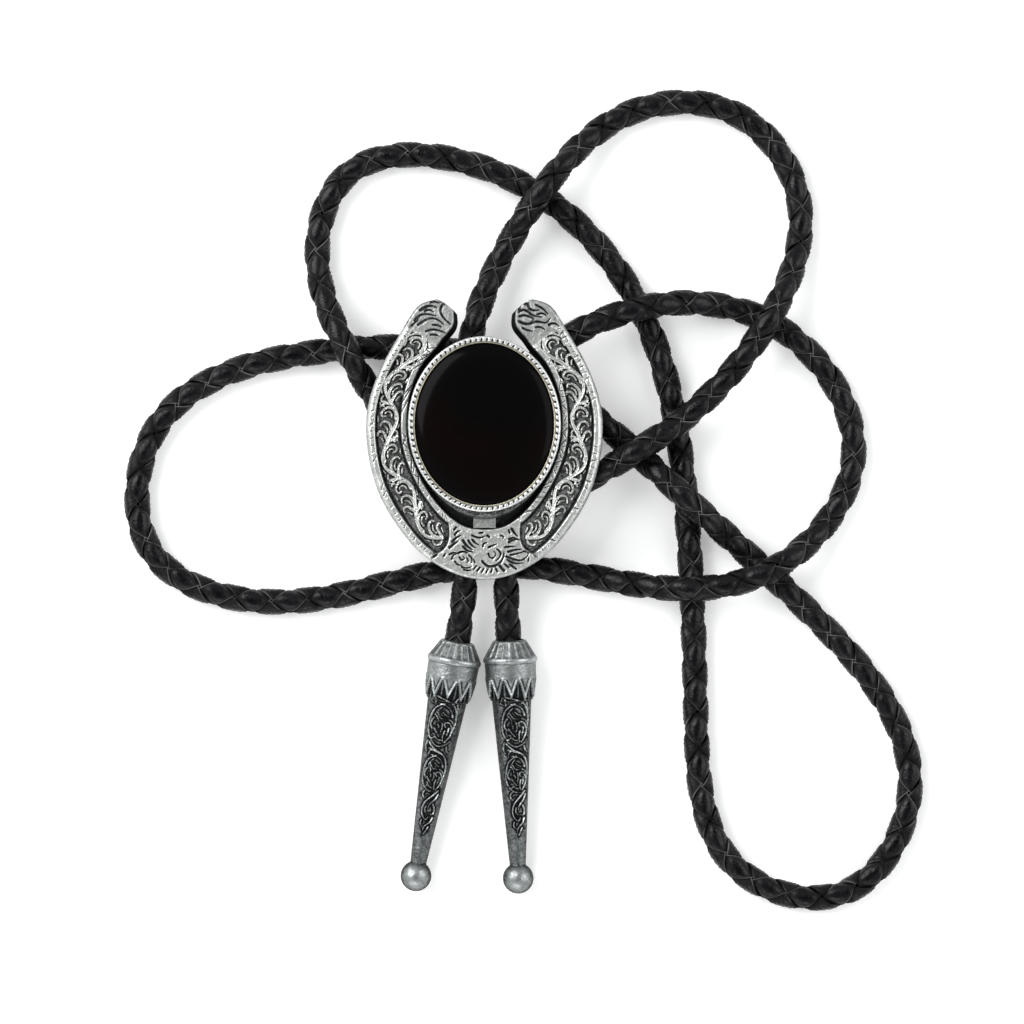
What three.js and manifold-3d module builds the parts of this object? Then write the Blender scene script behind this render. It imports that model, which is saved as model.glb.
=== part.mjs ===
// Bolo tie: a horseshoe slide with an oval black cabochon, on a braided leather cord with two cast tips.
// Millimetres, +Z up. It lies face up on the plane z = 0, with +Y towards the open end of the horseshoe.
// The origin is the middle of the footprint of the metal pieces, on that plane.
import * as THREE from 'three';
import Module from 'manifold-3d';
import { mergeVertices } from 'three/addons/utils/BufferGeometryUtils.js';

const wasm = await Module();
wasm.setup();

// Gap left between pieces that touch
const GAP = 0.3;

// Cord
const CORD_DIAMETER = 4.3;
const CORD_R = CORD_DIAMETER / 2;
const CORD_SIDES = 10;
const CORD_STEP = 12.4;
const HUMP_REACH = 16.5;

// Heights of the slide above the plane: the two strands in its clip lie raised on the cord below them
const STRAND_LIFT = 4.8;
const STRAND_Z = CORD_R + STRAND_LIFT;
const SLIDE_BACK_Z = STRAND_Z + CORD_R + GAP;
const STONE_Y = 30.2;

// Horseshoe casting, heights above its own back
const WALL_TOP = 2.35;
const RIM_TOP = 3;
const RIM_SHOULDER = 2.65;
const CHANNEL_FLOOR = 1.75;
const PAD_LEVEL = 2.6;
const INNER_RIM = 1.35;
const OUTER_RIM = 1.5;
const RIM_CROWN = 0.35;
const OUTER_BEVEL = 0.6;
const INNER_DRAFT = 0.35;
const BASE_PLATE = 1.2;
const BAND_STEPS_PER_ROW = 2;

// Rows between which the channel is sunk, and the rows that it takes to sink
const CHANNEL_START = 2.2;
const CHANNEL_END = 13;
const CHANNEL_SLOPE = 0.9;

// Scrolls raised in the two channels
const SCROLLS_PER_SIDE = 6;
const SCROLL_FIRST_ROW = 3.35;
const SCROLL_LAST_ROW = 11.9;
const SCROLL_SPACING = 5.2;
const SCROLL_RADIUS = 1.55;
const SCROLL_TURNS = 1.35;
const SCROLL_START = -0.62 * Math.PI;
const SCROLL_CLOSING = 0.72;
const SCROLL_WIDTH = 0.62;
const SCROLL_TAPER = 0.45;
const SCROLL_HEIGHT = 0.95;
const SCROLL_ROOT = 0.4;
const STEM_REACH = 0.72;
const RIDGE_TOP = 0.55;

// Setting and stone, half widths and heights
const SETTING = { a: 13.3, b: 15.3, rim: 0.75, height: 3.3, floor: 0.6 };
const SKIRT = { inset: 0.55, height: 1.75 };
const ROPE = { notches: 36, notch: 0.13, bottom: 2, shoulder: 2.85, crown: 0.45, lip: 0.3, bulge: 0.1 };
const STONE = { a: 12.2, b: 14.2, girdle: 1.5, dome: 1.75, foot: 0.3, segments: 40, rings: 6 };
const TAB = { width: 3.9, height: 1.1 };

// Clip behind the slide
const CLIP = { wall: 0.8, length: 9.4, strandX: 3.3, midY: 29.2, play: 0.5 };

// Tips
const TIP = { mouthBore: CORD_R + GAP, boreDepth: 5.6, end: 44.7, segments: 24 };
const COLLAR = { at: 3.4, radius: 4.75 };
const BALL = { at: 42, radius: 2.7 };

// Right half of the horseshoe from the toe to the heel, about the stone's centre.
// Columns: outer edge x and y, inner edge x and y
const HORSESHOE_ROWS = [
  [0.0, -27.1, 0.0, -18.3],
  [4.2, -26.4, 2.8, -18.0],
  [8.1, -24.6, 5.3, -16.7],
  [11.8, -21.8, 7.7, -14.4],
  [15.1, -17.8, 9.9, -11.4],
  [17.8, -13.4, 11.6, -8.2],
  [19.5, -8.8, 12.8, -5.0],
  [20.4, -4.2, 13.4, -1.8],
  [20.6, 0.5, 13.4, 1.8],
  [19.9, 4.9, 12.9, 5.3],
  [18.3, 9.3, 11.8, 8.5],
  [16.5, 12.8, 10.4, 11.0],
  [14.6, 16.0, 8.5, 13.2],
  [12.8, 18.7, 6.4, 15.0],
  [10.9, 20.8, 5.4, 17.2],
  [8.4, 21.9, 5.5, 19.0],
];

// Tip from its mouth to its end. Columns: distance from the mouth, radius, depth of the flutes
const TIP_ROWS = [
  [0.0, 2.9, 0.0],
  [0.35, 3.05, 0.12],
  [2.7, 4.45, 0.3],
  [2.96, 4.6, 0.0],
  [COLLAR.at, COLLAR.radius, 0.0],
  [3.96, 4.6, 0.0],
  [4.1, 4.45, 0.0],
  [6.55, 4.4, 0.0],
  [6.75, 4.05, 0.0],
  [7.2, 4.2, 0.35],
  [9.2, 4.05, 0.45],
  [10.4, 3.75, 0.6],
  [10.6, 3.4, 0.0],
  [38.6, 1.5, 0.0],
  [39.5, 1.3, 0.0],
  [40.1, 1.9, 0.0],
  [40.9, 2.45, 0.0],
  [BALL.at, BALL.radius, 0.0],
  [43.2, 2.4, 0.0],
  [44.2, 1.6, 0.0],
];

// Leaf scrolls raised on the tip's front. Columns: distance from the mouth, length, side, height
const TIP_LEAVES = [
  [13.6, 4.6, 0, 0.55],
  [18.4, 4.4, 1, 0.5],
  [23.0, 4.4, -1, 0.5],
  [27.6, 4.4, 1, 0.45],
  [32.2, 4.4, -1, 0.4],
];
const LEAF_SPREAD = 0.55;
const LEAF_OFFSET = 0.32;
const LEAF_RING_STEP = 2.3;

// Mouths of the two tips: place, height, and the direction in which each tip points along the plane
const TIP_LEFT = { x: -4.7, y: -7.7, heading: -100.1 };
const TIP_RIGHT = { x: 4.35, y: -7.5, heading: -87.9 };

// Route of the cord from inside the left tip to inside the right one, about 971 mm between the two mouths.
// Columns: x, y, lift above the plane. It is lifted where it passes over itself, in the clip and in the tips
const CORD_ROUTE = [
  [-5.6, -12.6, 2.5],
  [-3.1, 6.0, 4.8],
  [-3.3, 33.0, 4.8],
  [-2.4, 45.0, 4.8],
  [2.6, 58.9, 2.0],
  [10.7, 71.9, 5.1],
  [25.5, 85.0, 0],
  [44.5, 84.6, 0],
  [55.3, 69.0, 0],
  [49.7, 48.4, 5.2],
  [34.4, 30.9, 5.0],
  [26.1, 25.3, 6.3],
  [-2.0, 16.8, 0],
  [-14.4, 27.6, 0],
  [-24.2, 43.5, 5.1],
  [-29.4, 61.0, 0],
  [-24.6, 73.7, 0],
  [-2.4, 76.1, 0],
  [28.4, 48.4, 0],
  [35.3, 17.2, 0],
  [37.1, -21.0, 0],
  [44.5, -47.8, 0],
  [63.0, -52.0, 0],
  [74.6, -35.0, 0],
  [58.1, -3.7, 0],
  [35.3, 17.3, 5.3],
  [3.6, 40.9, 0],
  [-24.4, 43.5, 0],
  [-58.6, 28.0, 0],
  [-58.9, 8.6, 0],
  [-39.0, -0.8, 0],
  [1.2, 5.6, 0],
  [36.7, 1.5, 5.1],
  [49.0, 4.2, 5.3],
  [64.8, 24.7, 0],
  [49.9, 48.3, 0],
  [26.6, 50.4, 5.3],
  [7.5, 39.8, 4.8],
  [3.5, 33.9, 4.8],
  [3.35, 25.2, 4.8],
  [3.7, 5.6, 4.8],
  [4.5, -12.6, 2.5],
];

// Materials
const metal = (color, roughness) => new THREE.MeshStandardMaterial({ color, roughness, metalness: 1 });
const ANTIQUE_SILVER = metal(0xb9bcb6, 0.36);
const DARK_PEWTER = metal(0x8b918f, 0.42);
const PLAIN_STEEL = metal(0xa5a7a6, 0.35);
const BLACK_STONE = new THREE.MeshStandardMaterial({ color: 0x0b0a0a, roughness: 0.12, metalness: 0 });
const BLACK_LEATHER = new THREE.MeshStandardMaterial({ color: 0x1c1c1f, roughness: 0.55, metalness: 0 });

// Even rise from 0 to 1, level at both ends
const ease = (t) => (1 - Math.cos(Math.PI * t)) / 2;

// Merged positions and triangles of a geometry, as a solid for joining and cutting
function solidOf(geometry) {
  const bare = geometry.clone();
  bare.deleteAttribute('normal');
  bare.deleteAttribute('uv');
  const merged = mergeVertices(bare, 1e-4);
  const mesh = new wasm.Mesh({
    numProp: 3,
    vertProperties: new Float32Array(merged.attributes.position.array),
    triVerts: new Uint32Array(merged.index.array),
  });
  return new wasm.Manifold(mesh);
}

function geometryOf(solid) {
  const mesh = solid.getMesh();
  const geometry = new THREE.BufferGeometry();
  geometry.setAttribute('position', new THREE.BufferAttribute(mesh.vertProperties, 3));
  geometry.setIndex(new THREE.BufferAttribute(mesh.triVerts, 1));
  geometry.computeVertexNormals();
  return geometry;
}

const joined = (solids) => solids.reduce((whole, next) => whole.add(next));

// Closed solid through a row of sections, each a closed loop of the same number of points.
// The end sections are capped by triangles of the given plane outline
function loft(sections, capOutline) {
  const count = sections[0].length;
  const positions = sections.flat().flatMap((p) => [p.x, p.y, p.z]);
  const triangles = [];
  for (let s = 0; s + 1 < sections.length; s += 1) {
    for (let k = 0; k < count; k += 1) {
      const a = s * count + k;
      const b = s * count + ((k + 1) % count);
      triangles.push(a, b, a + count, b, b + count, a + count);
    }
  }
  const last = (sections.length - 1) * count;
  const outlineTurn = Math.sign(THREE.ShapeUtils.area(capOutline));
  for (const face of THREE.ShapeUtils.triangulateShape(capOutline, [])) {
    const faceTurn = Math.sign(THREE.ShapeUtils.area(face.map((k) => capOutline[k])));
    const [a, b, c] = faceTurn === outlineTurn ? face : face.reverse();
    triangles.push(c, b, a, last + a, last + b, last + c);
  }
  return outward(positions, triangles);
}

// Geometry whose faces point out, whichever way round the sections ran
function outward(positions, triangles) {
  const at = (i) => new THREE.Vector3(positions[3 * i], positions[3 * i + 1], positions[3 * i + 2]);
  let volume = 0;
  for (let t = 0; t < triangles.length; t += 3) {
    const [a, b, c] = [at(triangles[t]), at(triangles[t + 1]), at(triangles[t + 2])];
    volume += a.dot(b.cross(c));
  }
  const geometry = new THREE.BufferGeometry();
  geometry.setAttribute('position', new THREE.Float32BufferAttribute(positions, 3));
  geometry.setIndex(volume > 0 ? triangles : triangles.reverse());
  return geometry;
}

// Solid of revolution about Z with its own radius at each angle. The outline runs from pole to pole
function turned(outline, segments, radiusAt, squash = 1) {
  const positions = [];
  const triangles = [];
  const rings = outline.slice(1, -1);
  for (const [z, radius, ...rest] of rings) {
    for (let k = 0; k < segments; k += 1) {
      const angle = (2 * Math.PI * k) / segments;
      const r = radiusAt(radius, z, angle, k, rest);
      positions.push(r * Math.cos(angle), r * squash * Math.sin(angle), z);
    }
  }
  const first = positions.length / 3;
  positions.push(0, 0, outline[0][0], 0, 0, outline[outline.length - 1][0]);
  const lastRing = (rings.length - 1) * segments;
  for (let k = 0; k < segments; k += 1) {
    const next = (k + 1) % segments;
    triangles.push(first, next, k, first + 1, lastRing + k, lastRing + next);
    for (let s = 0; s + 1 < rings.length; s += 1) {
      const [a, b] = [s * segments + k, s * segments + next];
      triangles.push(a, b, a + segments, b, b + segments, a + segments);
    }
  }
  return outward(positions, triangles);
}

// The whole band of the horseshoe, from the left heel round the toe to the right one
const bandRows = [
  ...HORSESHOE_ROWS.slice(1).reverse().map(([ox, oy, ix, iy]) => [-ox, oy, -ix, iy]),
  ...HORSESHOE_ROWS,
];
const TOE_ROW = HORSESHOE_ROWS.length - 1;
const edgeCurve = (column) =>
  new THREE.CatmullRomCurve3(bandRows.map((row) => new THREE.Vector3(row[column], row[column + 1], 0)));
const outerEdge = edgeCurve(0);
const innerEdge = edgeCurve(2);

// Place in the band: row counted from the toe, negative to the left, and distance from the inner edge
function bandFrame(row) {
  const t = (row + TOE_ROW) / (2 * TOE_ROW);
  const inner = innerEdge.getPoint(t);
  const across = outerEdge.getPoint(t).sub(inner);
  return { inner, width: across.length(), across: across.clone().normalize() };
}

function bandPoint(row, distance, height) {
  const { inner, across } = bandFrame(row);
  return inner.clone().addScaledVector(across, distance).setZ(height);
}

// Level between the rims: a pad at the toe and at each heel, and a sunk channel between them
function floorLevel(row) {
  const place = Math.abs(row);
  const depth = Math.min(place - CHANNEL_START, CHANNEL_END - place) / CHANNEL_SLOPE;
  const share = ease(1 - THREE.MathUtils.clamp(depth, 0, 1));
  return THREE.MathUtils.lerp(CHANNEL_FLOOR, PAD_LEVEL, share);
}

function bandSection(row) {
  const { width } = bandFrame(row);
  const level = floorLevel(row);
  const outerStart = width - OUTER_RIM - OUTER_BEVEL;
  return [
    [-INNER_DRAFT, 0],
    [0, WALL_TOP],
    [RIM_CROWN, RIM_TOP],
    [INNER_RIM - RIM_CROWN, RIM_TOP],
    [INNER_RIM, level],
    [outerStart, level],
    [outerStart + RIM_CROWN, RIM_TOP],
    [width - OUTER_BEVEL - RIM_CROWN, RIM_TOP],
    [width - OUTER_BEVEL, RIM_SHOULDER],
    [width, WALL_TOP],
    [width, 0],
  ];
}

function band() {
  const sections = [];
  const steps = 2 * TOE_ROW * BAND_STEPS_PER_ROW;
  for (let k = 0; k <= steps; k += 1) {
    const row = k / BAND_STEPS_PER_ROW - TOE_ROW;
    sections.push(bandSection(row).map(([distance, height]) => bandPoint(row, distance, height)));
  }
  const cap = bandSection(TOE_ROW).map(([distance, height]) => new THREE.Vector2(distance, height));
  return loft(sections, cap);
}

// Plate under the setting, filling the horseshoe up to the top of the oval
function basePlate() {
  const shape = new THREE.Shape();
  const reach = SCROLL_LAST_ROW;
  const steps = 2 * Math.round(reach) * BAND_STEPS_PER_ROW;
  for (let k = 0; k <= steps; k += 1) {
    const point = bandPoint(-reach + (2 * reach * k) / steps, INNER_RIM / 2, 0);
    if (k === 0) shape.moveTo(point.x, point.y);
    else shape.lineTo(point.x, point.y);
  }
  const end = bandPoint(reach, INNER_RIM / 2, 0);
  const startAngle = Math.atan2(end.y / SETTING.b, end.x / SETTING.a);
  const arcSteps = 12;
  for (let k = 1; k < arcSteps; k += 1) {
    const angle = startAngle + ((Math.PI - 2 * startAngle) * k) / arcSteps;
    shape.lineTo(SETTING.a * Math.cos(angle), SETTING.b * Math.sin(angle));
  }
  shape.closePath();
  return new THREE.ExtrudeGeometry(shape, { depth: BASE_PLATE, bevelEnabled: false });
}

// Ridge with a roof-shaped section along points in the band, as wide as the given function says
function ridge(places, widthAt, bottom, top) {
  const line = places.map(([row, distance]) => bandPoint(row, distance, 0));
  const sections = line.map((point, k) => {
    const before = line[Math.max(k - 1, 0)];
    const after = line[Math.min(k + 1, line.length - 1)];
    const along = after.clone().sub(before).normalize();
    const side = new THREE.Vector3(-along.y, along.x, 0);
    const half = widthAt(k / (line.length - 1)) / 2;
    const corner = (share, z) => point.clone().addScaledVector(side, share * half).setZ(z);
    return [corner(-1, bottom), corner(1, bottom), corner(RIDGE_TOP, top), corner(-RIDGE_TOP, top)];
  });
  const outline = [[-1, bottom], [1, bottom], [RIDGE_TOP, top], [-RIDGE_TOP, top]];
  return loft(sections, outline.map(([x, y]) => new THREE.Vector2(x, y)));
}

// One scroll: a stem that comes from the last one and winds into a spiral
function scroll(side, index) {
  const pitch = (SCROLL_LAST_ROW - SCROLL_FIRST_ROW) / SCROLLS_PER_SIDE;
  const row = SCROLL_FIRST_ROW + pitch * (index + 0.5);
  const { width } = bandFrame(row);
  const middle = (INNER_RIM + width - OUTER_RIM - OUTER_BEVEL) / 2;
  const turn = index % 2 ? 1 : -1;
  const rowsPerMm = pitch / SCROLL_SPACING;
  const places = [[row - pitch * STEM_REACH, middle + turn * SCROLL_RADIUS * STEM_REACH]];
  const steps = 13;
  for (let k = 0; k <= steps; k += 1) {
    const share = k / steps;
    const angle = SCROLL_START + 2 * Math.PI * SCROLL_TURNS * share;
    const radius = SCROLL_RADIUS * (1 - SCROLL_CLOSING * share);
    places.push([row + radius * Math.cos(angle) * rowsPerMm, middle + turn * radius * Math.sin(angle)]);
  }
  const mirrored = places.map(([place, distance]) => [side * place, distance]);
  const widthAt = (share) => SCROLL_WIDTH * (1 - SCROLL_TAPER * share);
  return ridge(mirrored, widthAt, CHANNEL_FLOOR - SCROLL_ROOT, CHANNEL_FLOOR + SCROLL_HEIGHT);
}

function horseshoe() {
  const scrolls = [];
  for (const side of [-1, 1]) {
    for (let index = 0; index < SCROLLS_PER_SIDE; index += 1) {
      scrolls.push(solidOf(scroll(side, index)));
    }
  }
  return geometryOf(joined([solidOf(band()), solidOf(basePlate()), ...scrolls]));
}

// Oval cup with a notched rope edge, and the tab that joins it to the toe
function setting() {
  const inner = SETTING.a - SETTING.rim;
  const outline = [
    [0, 0],
    [0, SETTING.a - SKIRT.inset],
    [SKIRT.height, SETTING.a - SKIRT.inset],
    [ROPE.bottom, SETTING.a - ROPE.bulge, 1],
    [ROPE.shoulder, SETTING.a, 1],
    [SETTING.height, SETTING.a - ROPE.crown, 1],
    [SETTING.height - ROPE.lip, inner],
    [SETTING.floor, inner],
    [SETTING.floor, 0],
  ];
  const stretch = SETTING.b - SETTING.a;
  const radiusAt = (radius, z, angle, k, [notched]) => radius - (notched && k % 2 ? ROPE.notch : 0);
  const cup = turned(outline, 2 * ROPE.notches, radiusAt);
  const place = cup.attributes.position;
  for (let k = 0; k < place.count; k += 1) {
    const radius = Math.hypot(place.getX(k), place.getY(k));
    const share = radius > 0 ? place.getY(k) / radius : 0;
    place.setY(k, place.getY(k) + stretch * share);
  }
  const tabStart = SETTING.rim - SETTING.b;
  const tabEnd = HORSESHOE_ROWS[0][3] + INNER_DRAFT + GAP;
  const tab = new THREE.BoxGeometry(TAB.width, tabStart - tabEnd, TAB.height);
  tab.translate(0, (tabStart + tabEnd) / 2, TAB.height / 2);
  return geometryOf(solidOf(cup).add(solidOf(tab)));
}

// Low dome on a short straight girdle
function stone() {
  const outline = [[0, 0], [0, STONE.a - STONE.foot], [STONE.foot, STONE.a], [STONE.girdle, STONE.a]];
  for (let k = 1; k < STONE.rings; k += 1) {
    const angle = (Math.PI / 2) * (k / STONE.rings);
    outline.push([STONE.girdle + STONE.dome * Math.sin(angle), STONE.a * Math.cos(angle)]);
  }
  outline.push([STONE.girdle + STONE.dome, 0]);
  return turned(outline, STONE.segments, (radius) => radius, STONE.b / STONE.a);
}

// Plate with two open tunnels that hold the strands against the back of the slide
function backClip() {
  const bore = CORD_R + CLIP.play;
  const half = CLIP.strandX + bore + CLIP.wall;
  const top = SLIDE_BACK_Z - GAP;
  const bottom = STRAND_Z - bore - CLIP.wall;
  const shape = new THREE.Shape();
  shape.moveTo(-half, bottom);
  shape.lineTo(half, bottom);
  shape.lineTo(half, top);
  for (const x of [CLIP.strandX, -CLIP.strandX]) {
    const steps = 10;
    const opening = Math.acos((top - STRAND_Z) / bore);
    for (let k = 0; k <= steps; k += 1) {
      const angle = Math.PI / 2 - opening - ((2 * Math.PI - 2 * opening) * k) / steps;
      shape.lineTo(x + bore * Math.cos(angle), STRAND_Z + bore * Math.sin(angle));
    }
  }
  shape.lineTo(-half, top);
  shape.closePath();
  const clip = new THREE.ExtrudeGeometry(shape, { depth: CLIP.length, bevelEnabled: false });
  clip.rotateX(Math.PI / 2);
  clip.translate(0, CLIP.midY + CLIP.length / 2, 0);
  return clip;
}

// Height of the leaves raised on the front of a tip
function leafHeight(z, angle) {
  let height = 0;
  for (const [start, length, side, top] of TIP_LEAVES) {
    const along = (z - start) / length;
    const off = (angle - Math.PI / 2 - side * LEAF_OFFSET) / LEAF_SPREAD;
    if (Math.abs(along) < 1) {
      const fall = Math.cos((Math.PI / 2) * along) ** 2 * Math.exp(-off * off);
      height = Math.max(height, top * fall);
    }
  }
  return height;
}

// Tip along +Z from its mouth, with its front at +Y
function tip() {
  const outline = [[TIP.boreDepth, 0], [TIP.boreDepth, TIP.mouthBore], [0, TIP.mouthBore]];
  for (let k = 0; k < TIP_ROWS.length; k += 1) {
    const [z, radius, flute] = TIP_ROWS[k];
    outline.push([z, radius, flute]);
    const [nextZ, nextRadius] = TIP_ROWS[k + 1] ?? [z, radius];
    const between = 2 * Math.floor((nextZ - z) / LEAF_RING_STEP / 2);
    for (let j = 1; j <= between; j += 1) {
      const share = j / (between + 1);
      outline.push([z + (nextZ - z) * share, radius + (nextRadius - radius) * share, 0, 1]);
    }
  }
  outline.push([TIP.end, 0]);
  const radiusAt = (radius, z, angle, k, [flute = 0, leafy = 0]) =>
    radius - (k % 2 ? flute : 0) + (leafy ? leafHeight(z, angle) : 0);
  return turned(outline, TIP.segments, radiusAt);
}

function placedTip(name, { x, y, heading }) {
  const mesh = new THREE.Mesh(tip(), DARK_PEWTER);
  mesh.name = name;
  const fall = Math.asin((COLLAR.radius - BALL.radius) / (BALL.at - COLLAR.at));
  const mouthZ = COLLAR.radius + Math.sin(fall) * COLLAR.at;
  const level = THREE.MathUtils.degToRad(heading);
  const along = new THREE.Vector3(
    Math.cos(level) * Math.cos(fall),
    Math.sin(level) * Math.cos(fall),
    -Math.sin(fall),
  );
  const side = new THREE.Vector3(0, 0, 1).cross(along).normalize().negate();
  const front = along.clone().cross(side);
  mesh.applyMatrix4(new THREE.Matrix4().makeBasis(side, front, along).setPosition(x, y, mouthZ));
  return mesh;
}

// Second derivatives of the natural cubic spline through the values at the knots
function splineBends(knots, values) {
  const count = knots.length;
  const bends = new Array(count).fill(0);
  const work = new Array(count).fill(0);
  for (let k = 1; k < count - 1; k += 1) {
    const share = (knots[k] - knots[k - 1]) / (knots[k + 1] - knots[k - 1]);
    const pivot = share * bends[k - 1] + 2;
    bends[k] = (share - 1) / pivot;
    const after = (values[k + 1] - values[k]) / (knots[k + 1] - knots[k]);
    const before = (values[k] - values[k - 1]) / (knots[k] - knots[k - 1]);
    work[k] = ((6 * (after - before)) / (knots[k + 1] - knots[k - 1]) - share * work[k - 1]) / pivot;
  }
  bends[count - 1] = 0;
  for (let k = count - 2; k >= 0; k -= 1) bends[k] = bends[k] * bends[k + 1] + work[k];
  return bends;
}

// Centreline of the cord. In plan it bends like a springy strip through the points of its route,
// and it rises and falls evenly on each side of a place where it is lifted
class CordLine extends THREE.Curve {
  constructor(route) {
    super();
    this.route = route;
    this.knots = [0];
    for (let k = 1; k < route.length; k += 1) {
      const [[ax, ay], [bx, by]] = [route[k - 1], route[k]];
      this.knots.push(this.knots[k - 1] + Math.hypot(bx - ax, by - ay));
    }
    this.bends = [0, 1].map((axis) => splineBends(this.knots, route.map((row) => row[axis])));
    this.stations = [];
    for (let k = 0; k + 1 < route.length; k += 1) {
      const span = this.knots[k + 1] - this.knots[k];
      const steps = Math.max(1, Math.round(span / CORD_STEP));
      for (let j = 0; j < steps; j += 1) this.stations.push(this.knots[k] + (span * j) / steps);
    }
    this.stations.push(this.knots[route.length - 1]);
  }

  pointAt(place) {
    let k = 0;
    while (k + 2 < this.knots.length && this.knots[k + 1] < place) k += 1;
    const span = this.knots[k + 1] - this.knots[k];
    const b = (place - this.knots[k]) / span;
    const a = 1 - b;
    const [from, to] = [this.route[k], this.route[k + 1]];
    const plan = [0, 1].map((axis) => {
      const bends = this.bends[axis];
      const bow = ((a ** 3 - a) * bends[k] + (b ** 3 - b) * bends[k + 1]) * (span * span) / 6;
      return a * from[axis] + b * to[axis] + bow;
    });
    const reach = from[2] > 0 && to[2] > 0 ? span : Math.min(span, HUMP_REACH);
    const away = from[2] > 0 ? b * span : a * span;
    const [near, far] = from[2] > 0 ? [from[2], to[2]] : [to[2], from[2]];
    const lift = THREE.MathUtils.lerp(near, far, ease(Math.min(away / reach, 1)));
    return new THREE.Vector3(plan[0], plan[1], CORD_R + lift);
  }

  placeOf(u) {
    return this.stations[Math.round(u * (this.stations.length - 1))];
  }

  getPoint(u) {
    return this.pointAt(this.placeOf(u));
  }

  getPointAt(u) {
    return this.getPoint(u);
  }

  getTangentAt(u, target = new THREE.Vector3()) {
    const place = this.placeOf(u);
    const small = 0.5;
    const ahead = this.pointAt(Math.min(place + small, this.knots[this.knots.length - 1]));
    return target.copy(ahead.sub(this.pointAt(Math.max(place - small, 0))).normalize());
  }
}

function cord() {
  const line = new CordLine(CORD_ROUTE);
  const corners = Array.from({ length: CORD_SIDES }, (_, k) => {
    const angle = (2 * Math.PI * k) / CORD_SIDES;
    return new THREE.Vector2(CORD_R * Math.cos(angle), CORD_R * Math.sin(angle));
  });
  const steps = line.stations.length - 1;
  return new THREE.ExtrudeGeometry(new THREE.Shape(corners), { steps, extrudePath: line });
}

function piece(name, geometry, material) {
  const mesh = new THREE.Mesh(geometry, material);
  mesh.name = name;
  return mesh;
}

const slide = new THREE.Group();
slide.position.set(0, STONE_Y, SLIDE_BACK_Z);
slide.add(piece('horseshoe', horseshoe(), ANTIQUE_SILVER));

const settingMesh = piece('setting', setting(), ANTIQUE_SILVER);
settingMesh.position.z = BASE_PLATE + GAP;
const stoneMesh = piece('stone', stone(), BLACK_STONE);
stoneMesh.position.z = BASE_PLATE + SETTING.floor + 2 * GAP;
slide.add(settingMesh, stoneMesh);

const boloTie = new THREE.Group();
boloTie.add(slide);
boloTie.add(piece('back_clip', backClip(), PLAIN_STEEL));
boloTie.add(piece('cord', cord(), BLACK_LEATHER));
boloTie.add(placedTip('tip_left', TIP_LEFT), placedTip('tip_right', TIP_RIGHT));

export default boloTie;
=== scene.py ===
import math

import bpy
import numpy as np
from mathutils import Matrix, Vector


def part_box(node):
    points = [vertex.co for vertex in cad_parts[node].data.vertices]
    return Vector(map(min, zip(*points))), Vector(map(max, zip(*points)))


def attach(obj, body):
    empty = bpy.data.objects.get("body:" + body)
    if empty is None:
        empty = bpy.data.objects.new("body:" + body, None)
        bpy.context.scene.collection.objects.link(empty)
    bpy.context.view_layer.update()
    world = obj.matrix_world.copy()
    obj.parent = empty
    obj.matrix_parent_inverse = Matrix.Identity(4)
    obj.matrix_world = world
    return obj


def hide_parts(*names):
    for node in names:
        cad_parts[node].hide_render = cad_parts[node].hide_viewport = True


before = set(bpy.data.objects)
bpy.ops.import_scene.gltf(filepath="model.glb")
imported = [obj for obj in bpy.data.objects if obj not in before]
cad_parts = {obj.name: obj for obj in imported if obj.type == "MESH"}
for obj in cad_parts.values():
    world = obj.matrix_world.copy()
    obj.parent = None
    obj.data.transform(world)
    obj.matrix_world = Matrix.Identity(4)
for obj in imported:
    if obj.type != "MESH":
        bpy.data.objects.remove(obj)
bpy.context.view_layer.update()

# Sizes are in millimetres and turned into metres where a mesh is made.
# +Y runs from the tips to the open end of the horseshoe, and +Z points out of the stone's face.
MM = 0.001

# Camera, straight above the middle of the picture, in metres but for the sensor
CAMERA_HEIGHT = 1.2
CAMERA_REACH = 10.0
PICTURE_WIDTH = 0.18022
PICTURE_CENTRE = (0.0048, 0.0149)
SENSOR = 36.0

# Brightness of the surroundings. Columns: how far up the direction points, from 0 to 1, and brightness
SKY = [(0.0, 0.75), (0.6, 0.7), (0.88, 0.42), (0.965, 0.13), (1.0, 0.07)]
SKY_TINT = (0.97, 0.99, 1.0)

# Soft lights. Columns: name, place in metres, width and height in metres, power in watts
LIGHTS = [
    ("key", (-0.85, 0.55, 0.95), (1.0, 1.0), 18.0),
    ("fill", (1.0, 0.2, 0.8), (1.0, 1.0), 7.5),
    ("front", (-0.2, -1.05, 0.65), (1.2, 0.6), 5.0),
]
LIGHT_AIM = (0.0, 0.02, 0.0)
FLOOR_WIDTH = 3.0

# Colours
SILVER = {"bright": (0.68, 0.69, 0.67), "dark": (0.022, 0.023, 0.024)}
PEWTER = {"bright": (0.42, 0.445, 0.44), "dark": (0.012, 0.013, 0.014)}
WARM_TINT = (0.95, 0.87, 0.7)
STONE_BLACK = (0.0022, 0.002, 0.002)
STONE_CLOUD = (0.0036, 0.0018, 0.0018)
LEATHER_DARK = (0.0015, 0.0015, 0.002)
LEATHER_LIGHT = (0.0045, 0.0045, 0.0056)
# Painted shade where one lace dips under the next
LEATHER_CREASE_SHADE = (0.0006, 0.0006, 0.0006)
LEATHER_EDGE = (0.17, 0.167, 0.165)

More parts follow.
